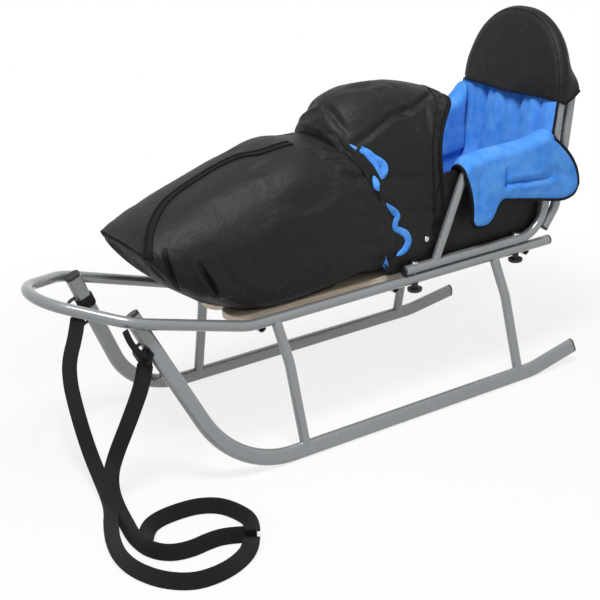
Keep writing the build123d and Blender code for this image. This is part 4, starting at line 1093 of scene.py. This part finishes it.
# %% Bindings and press studs
piping("cover_rim", cover_grid[-1], 3.4)
piping("cover_rim_seam", laid_on(lap_cover, cover_grid[-13], 0.4), 1.1)
piping("bag_rim", bag_grid[1, 4:97], 2.0)

STUD_PLACE = (-166, 120, 297)
stud_angle = np.linspace(0, 2 * np.pi, 24, endpoint=False)
STUD_CUT = [(0.01, 2.4), (3.2, 2.3), (4.8, 1.6), (5.4, 0.4), (5.4, -1.2), (0.01, -1.2)]
for side, sign in (("left", 1), ("right", -1)):
    middle = laid_on(lap_cover, np.multiply([STUD_PLACE], (1, sign, 1)), 1.5)[0]
    cut = np.array(STUD_CUT)
    radius, height = cut[:, :1], cut[:, 1:]
    ring = (radius * np.cos(stud_angle), sign * height, radius * np.sin(stud_angle))
    ring = middle + np.stack(np.broadcast_arrays(*ring), -1)
    stud = make_piece("press_stud_" + side, ring, grid_faces(len(cut), 24, wrap=True), [nickel], merge=0.05)
    fixed(stud)
print("trim made, stud at", middle.round(1))

# %% [markdown]
# ## Light and floor
# A pale floor, an even pale sky and one large soft lamp overhead. Camera, gloss and glass rays
# see the sky as plain white. The floor keeps a soft shadow under the sled and fades to plain
# white half a metre to a metre away from it.

# %% Floor
WHITE = (1.0, 1.0, 1.0, 1.0)
FLOOR_HALF, FLOOR_DROP = 9000, 0.5
SHADOW_END, WHITE_START, NEAR_WHITE = 0.5, 1.1, 0.82


def seen_share(tree):
    """1 for rays from camera, gloss and glass, and 0 for the light that falls on things."""
    rays = add(tree, "ShaderNodeLightPath")
    share = rays.outputs["Is Camera Ray"]
    for kind in ("Is Glossy Ray", "Is Transmission Ray"):
        both = {0: share, 1: rays.outputs[kind]}
        larger = add(tree, "ShaderNodeMath", {"operation": "MAXIMUM"}, links=both)
        share = larger.outputs[0]
    return share


floor_material = bpy.data.materials.new("pale_studio_floor")
floor_material.use_nodes = True
tree = floor_material.node_tree
tree.nodes.clear()
spot = add(tree, "ShaderNodeTexCoord")
far = add(tree, "ShaderNodeVectorMath", {"operation": "LENGTH"}, links={0: spot.outputs["Object"]})
share = add(tree, "ShaderNodeMapRange", {"interpolation_type": "SMOOTHSTEP"},
            {1: SHADOW_END, 2: WHITE_START, 3: NEAR_WHITE, 4: 1.0}, {0: far.outputs["Value"]})
amount = add(tree, "ShaderNodeMath", {"operation": "MULTIPLY"},
             links={0: seen_share(tree), 1: share.outputs[0]})
matt = add(tree, "ShaderNodeBsdfDiffuse", values={"Color": srgb("#dedede")})
white = add(tree, "ShaderNodeEmission", values={"Color": WHITE, "Strength": 1.0})
mixed = add(tree, "ShaderNodeMixShader",
            links={0: amount.outputs[0], 1: matt.outputs[0], 2: white.outputs[0]})
add(tree, "ShaderNodeOutputMaterial", links={"Surface": mixed.outputs[0]})

corners = np.array([(-1, -1), (1, -1), (1, 1), (-1, 1)]) * FLOOR_HALF
floor_points = np.column_stack((corners, np.full(4, -FLOOR_DROP)))
floor = make_piece("floor", floor_points, np.array([(0, 1, 2, 3)]), [floor_material], outward=False)
print("floor", 2 * FLOOR_HALF * MM, "m wide")

# %% Sky and lamp
SKY_LIGHT = 0.4
LAMP_SIZE, LAMP_POWER = 0.7, 50
LAMP_PLACE, LAMP_TURN_Y, LAMP_TURN_X = (0.5, 0.7, 2.3), 0.26, -0.28

world = bpy.data.worlds.new("pale_sky")
scene.world = world
world.use_nodes = True
tree = world.node_tree
tree.nodes.clear()
plain = add(tree, "ShaderNodeBackground", values={"Color": WHITE, "Strength": SKY_LIGHT})
bright = add(tree, "ShaderNodeBackground", values={"Color": WHITE, "Strength": 1.0})
mixed = add(tree, "ShaderNodeMixShader",
            links={0: seen_share(tree), 1: plain.outputs[0], 2: bright.outputs[0]})
add(tree, "ShaderNodeOutputWorld", links={"Surface": mixed.outputs[0]})

lamp_data = bpy.data.lights.new("soft_box", "AREA")
lamp_data.shape = "DISK"
lamp_data.size = LAMP_SIZE
lamp_data.energy = LAMP_POWER
lamp = bpy.data.objects.new("soft_box", lamp_data)
turned = Matrix.Rotation(LAMP_TURN_Y, 4, "Y") @ Matrix.Rotation(LAMP_TURN_X, 4, "X")
lamp.matrix_world = Matrix.Translation(LAMP_PLACE) @ turned
scene.collection.objects.link(lamp)

scene.view_settings.view_transform = "Standard"
print("lamp energy", lamp_data.energy)
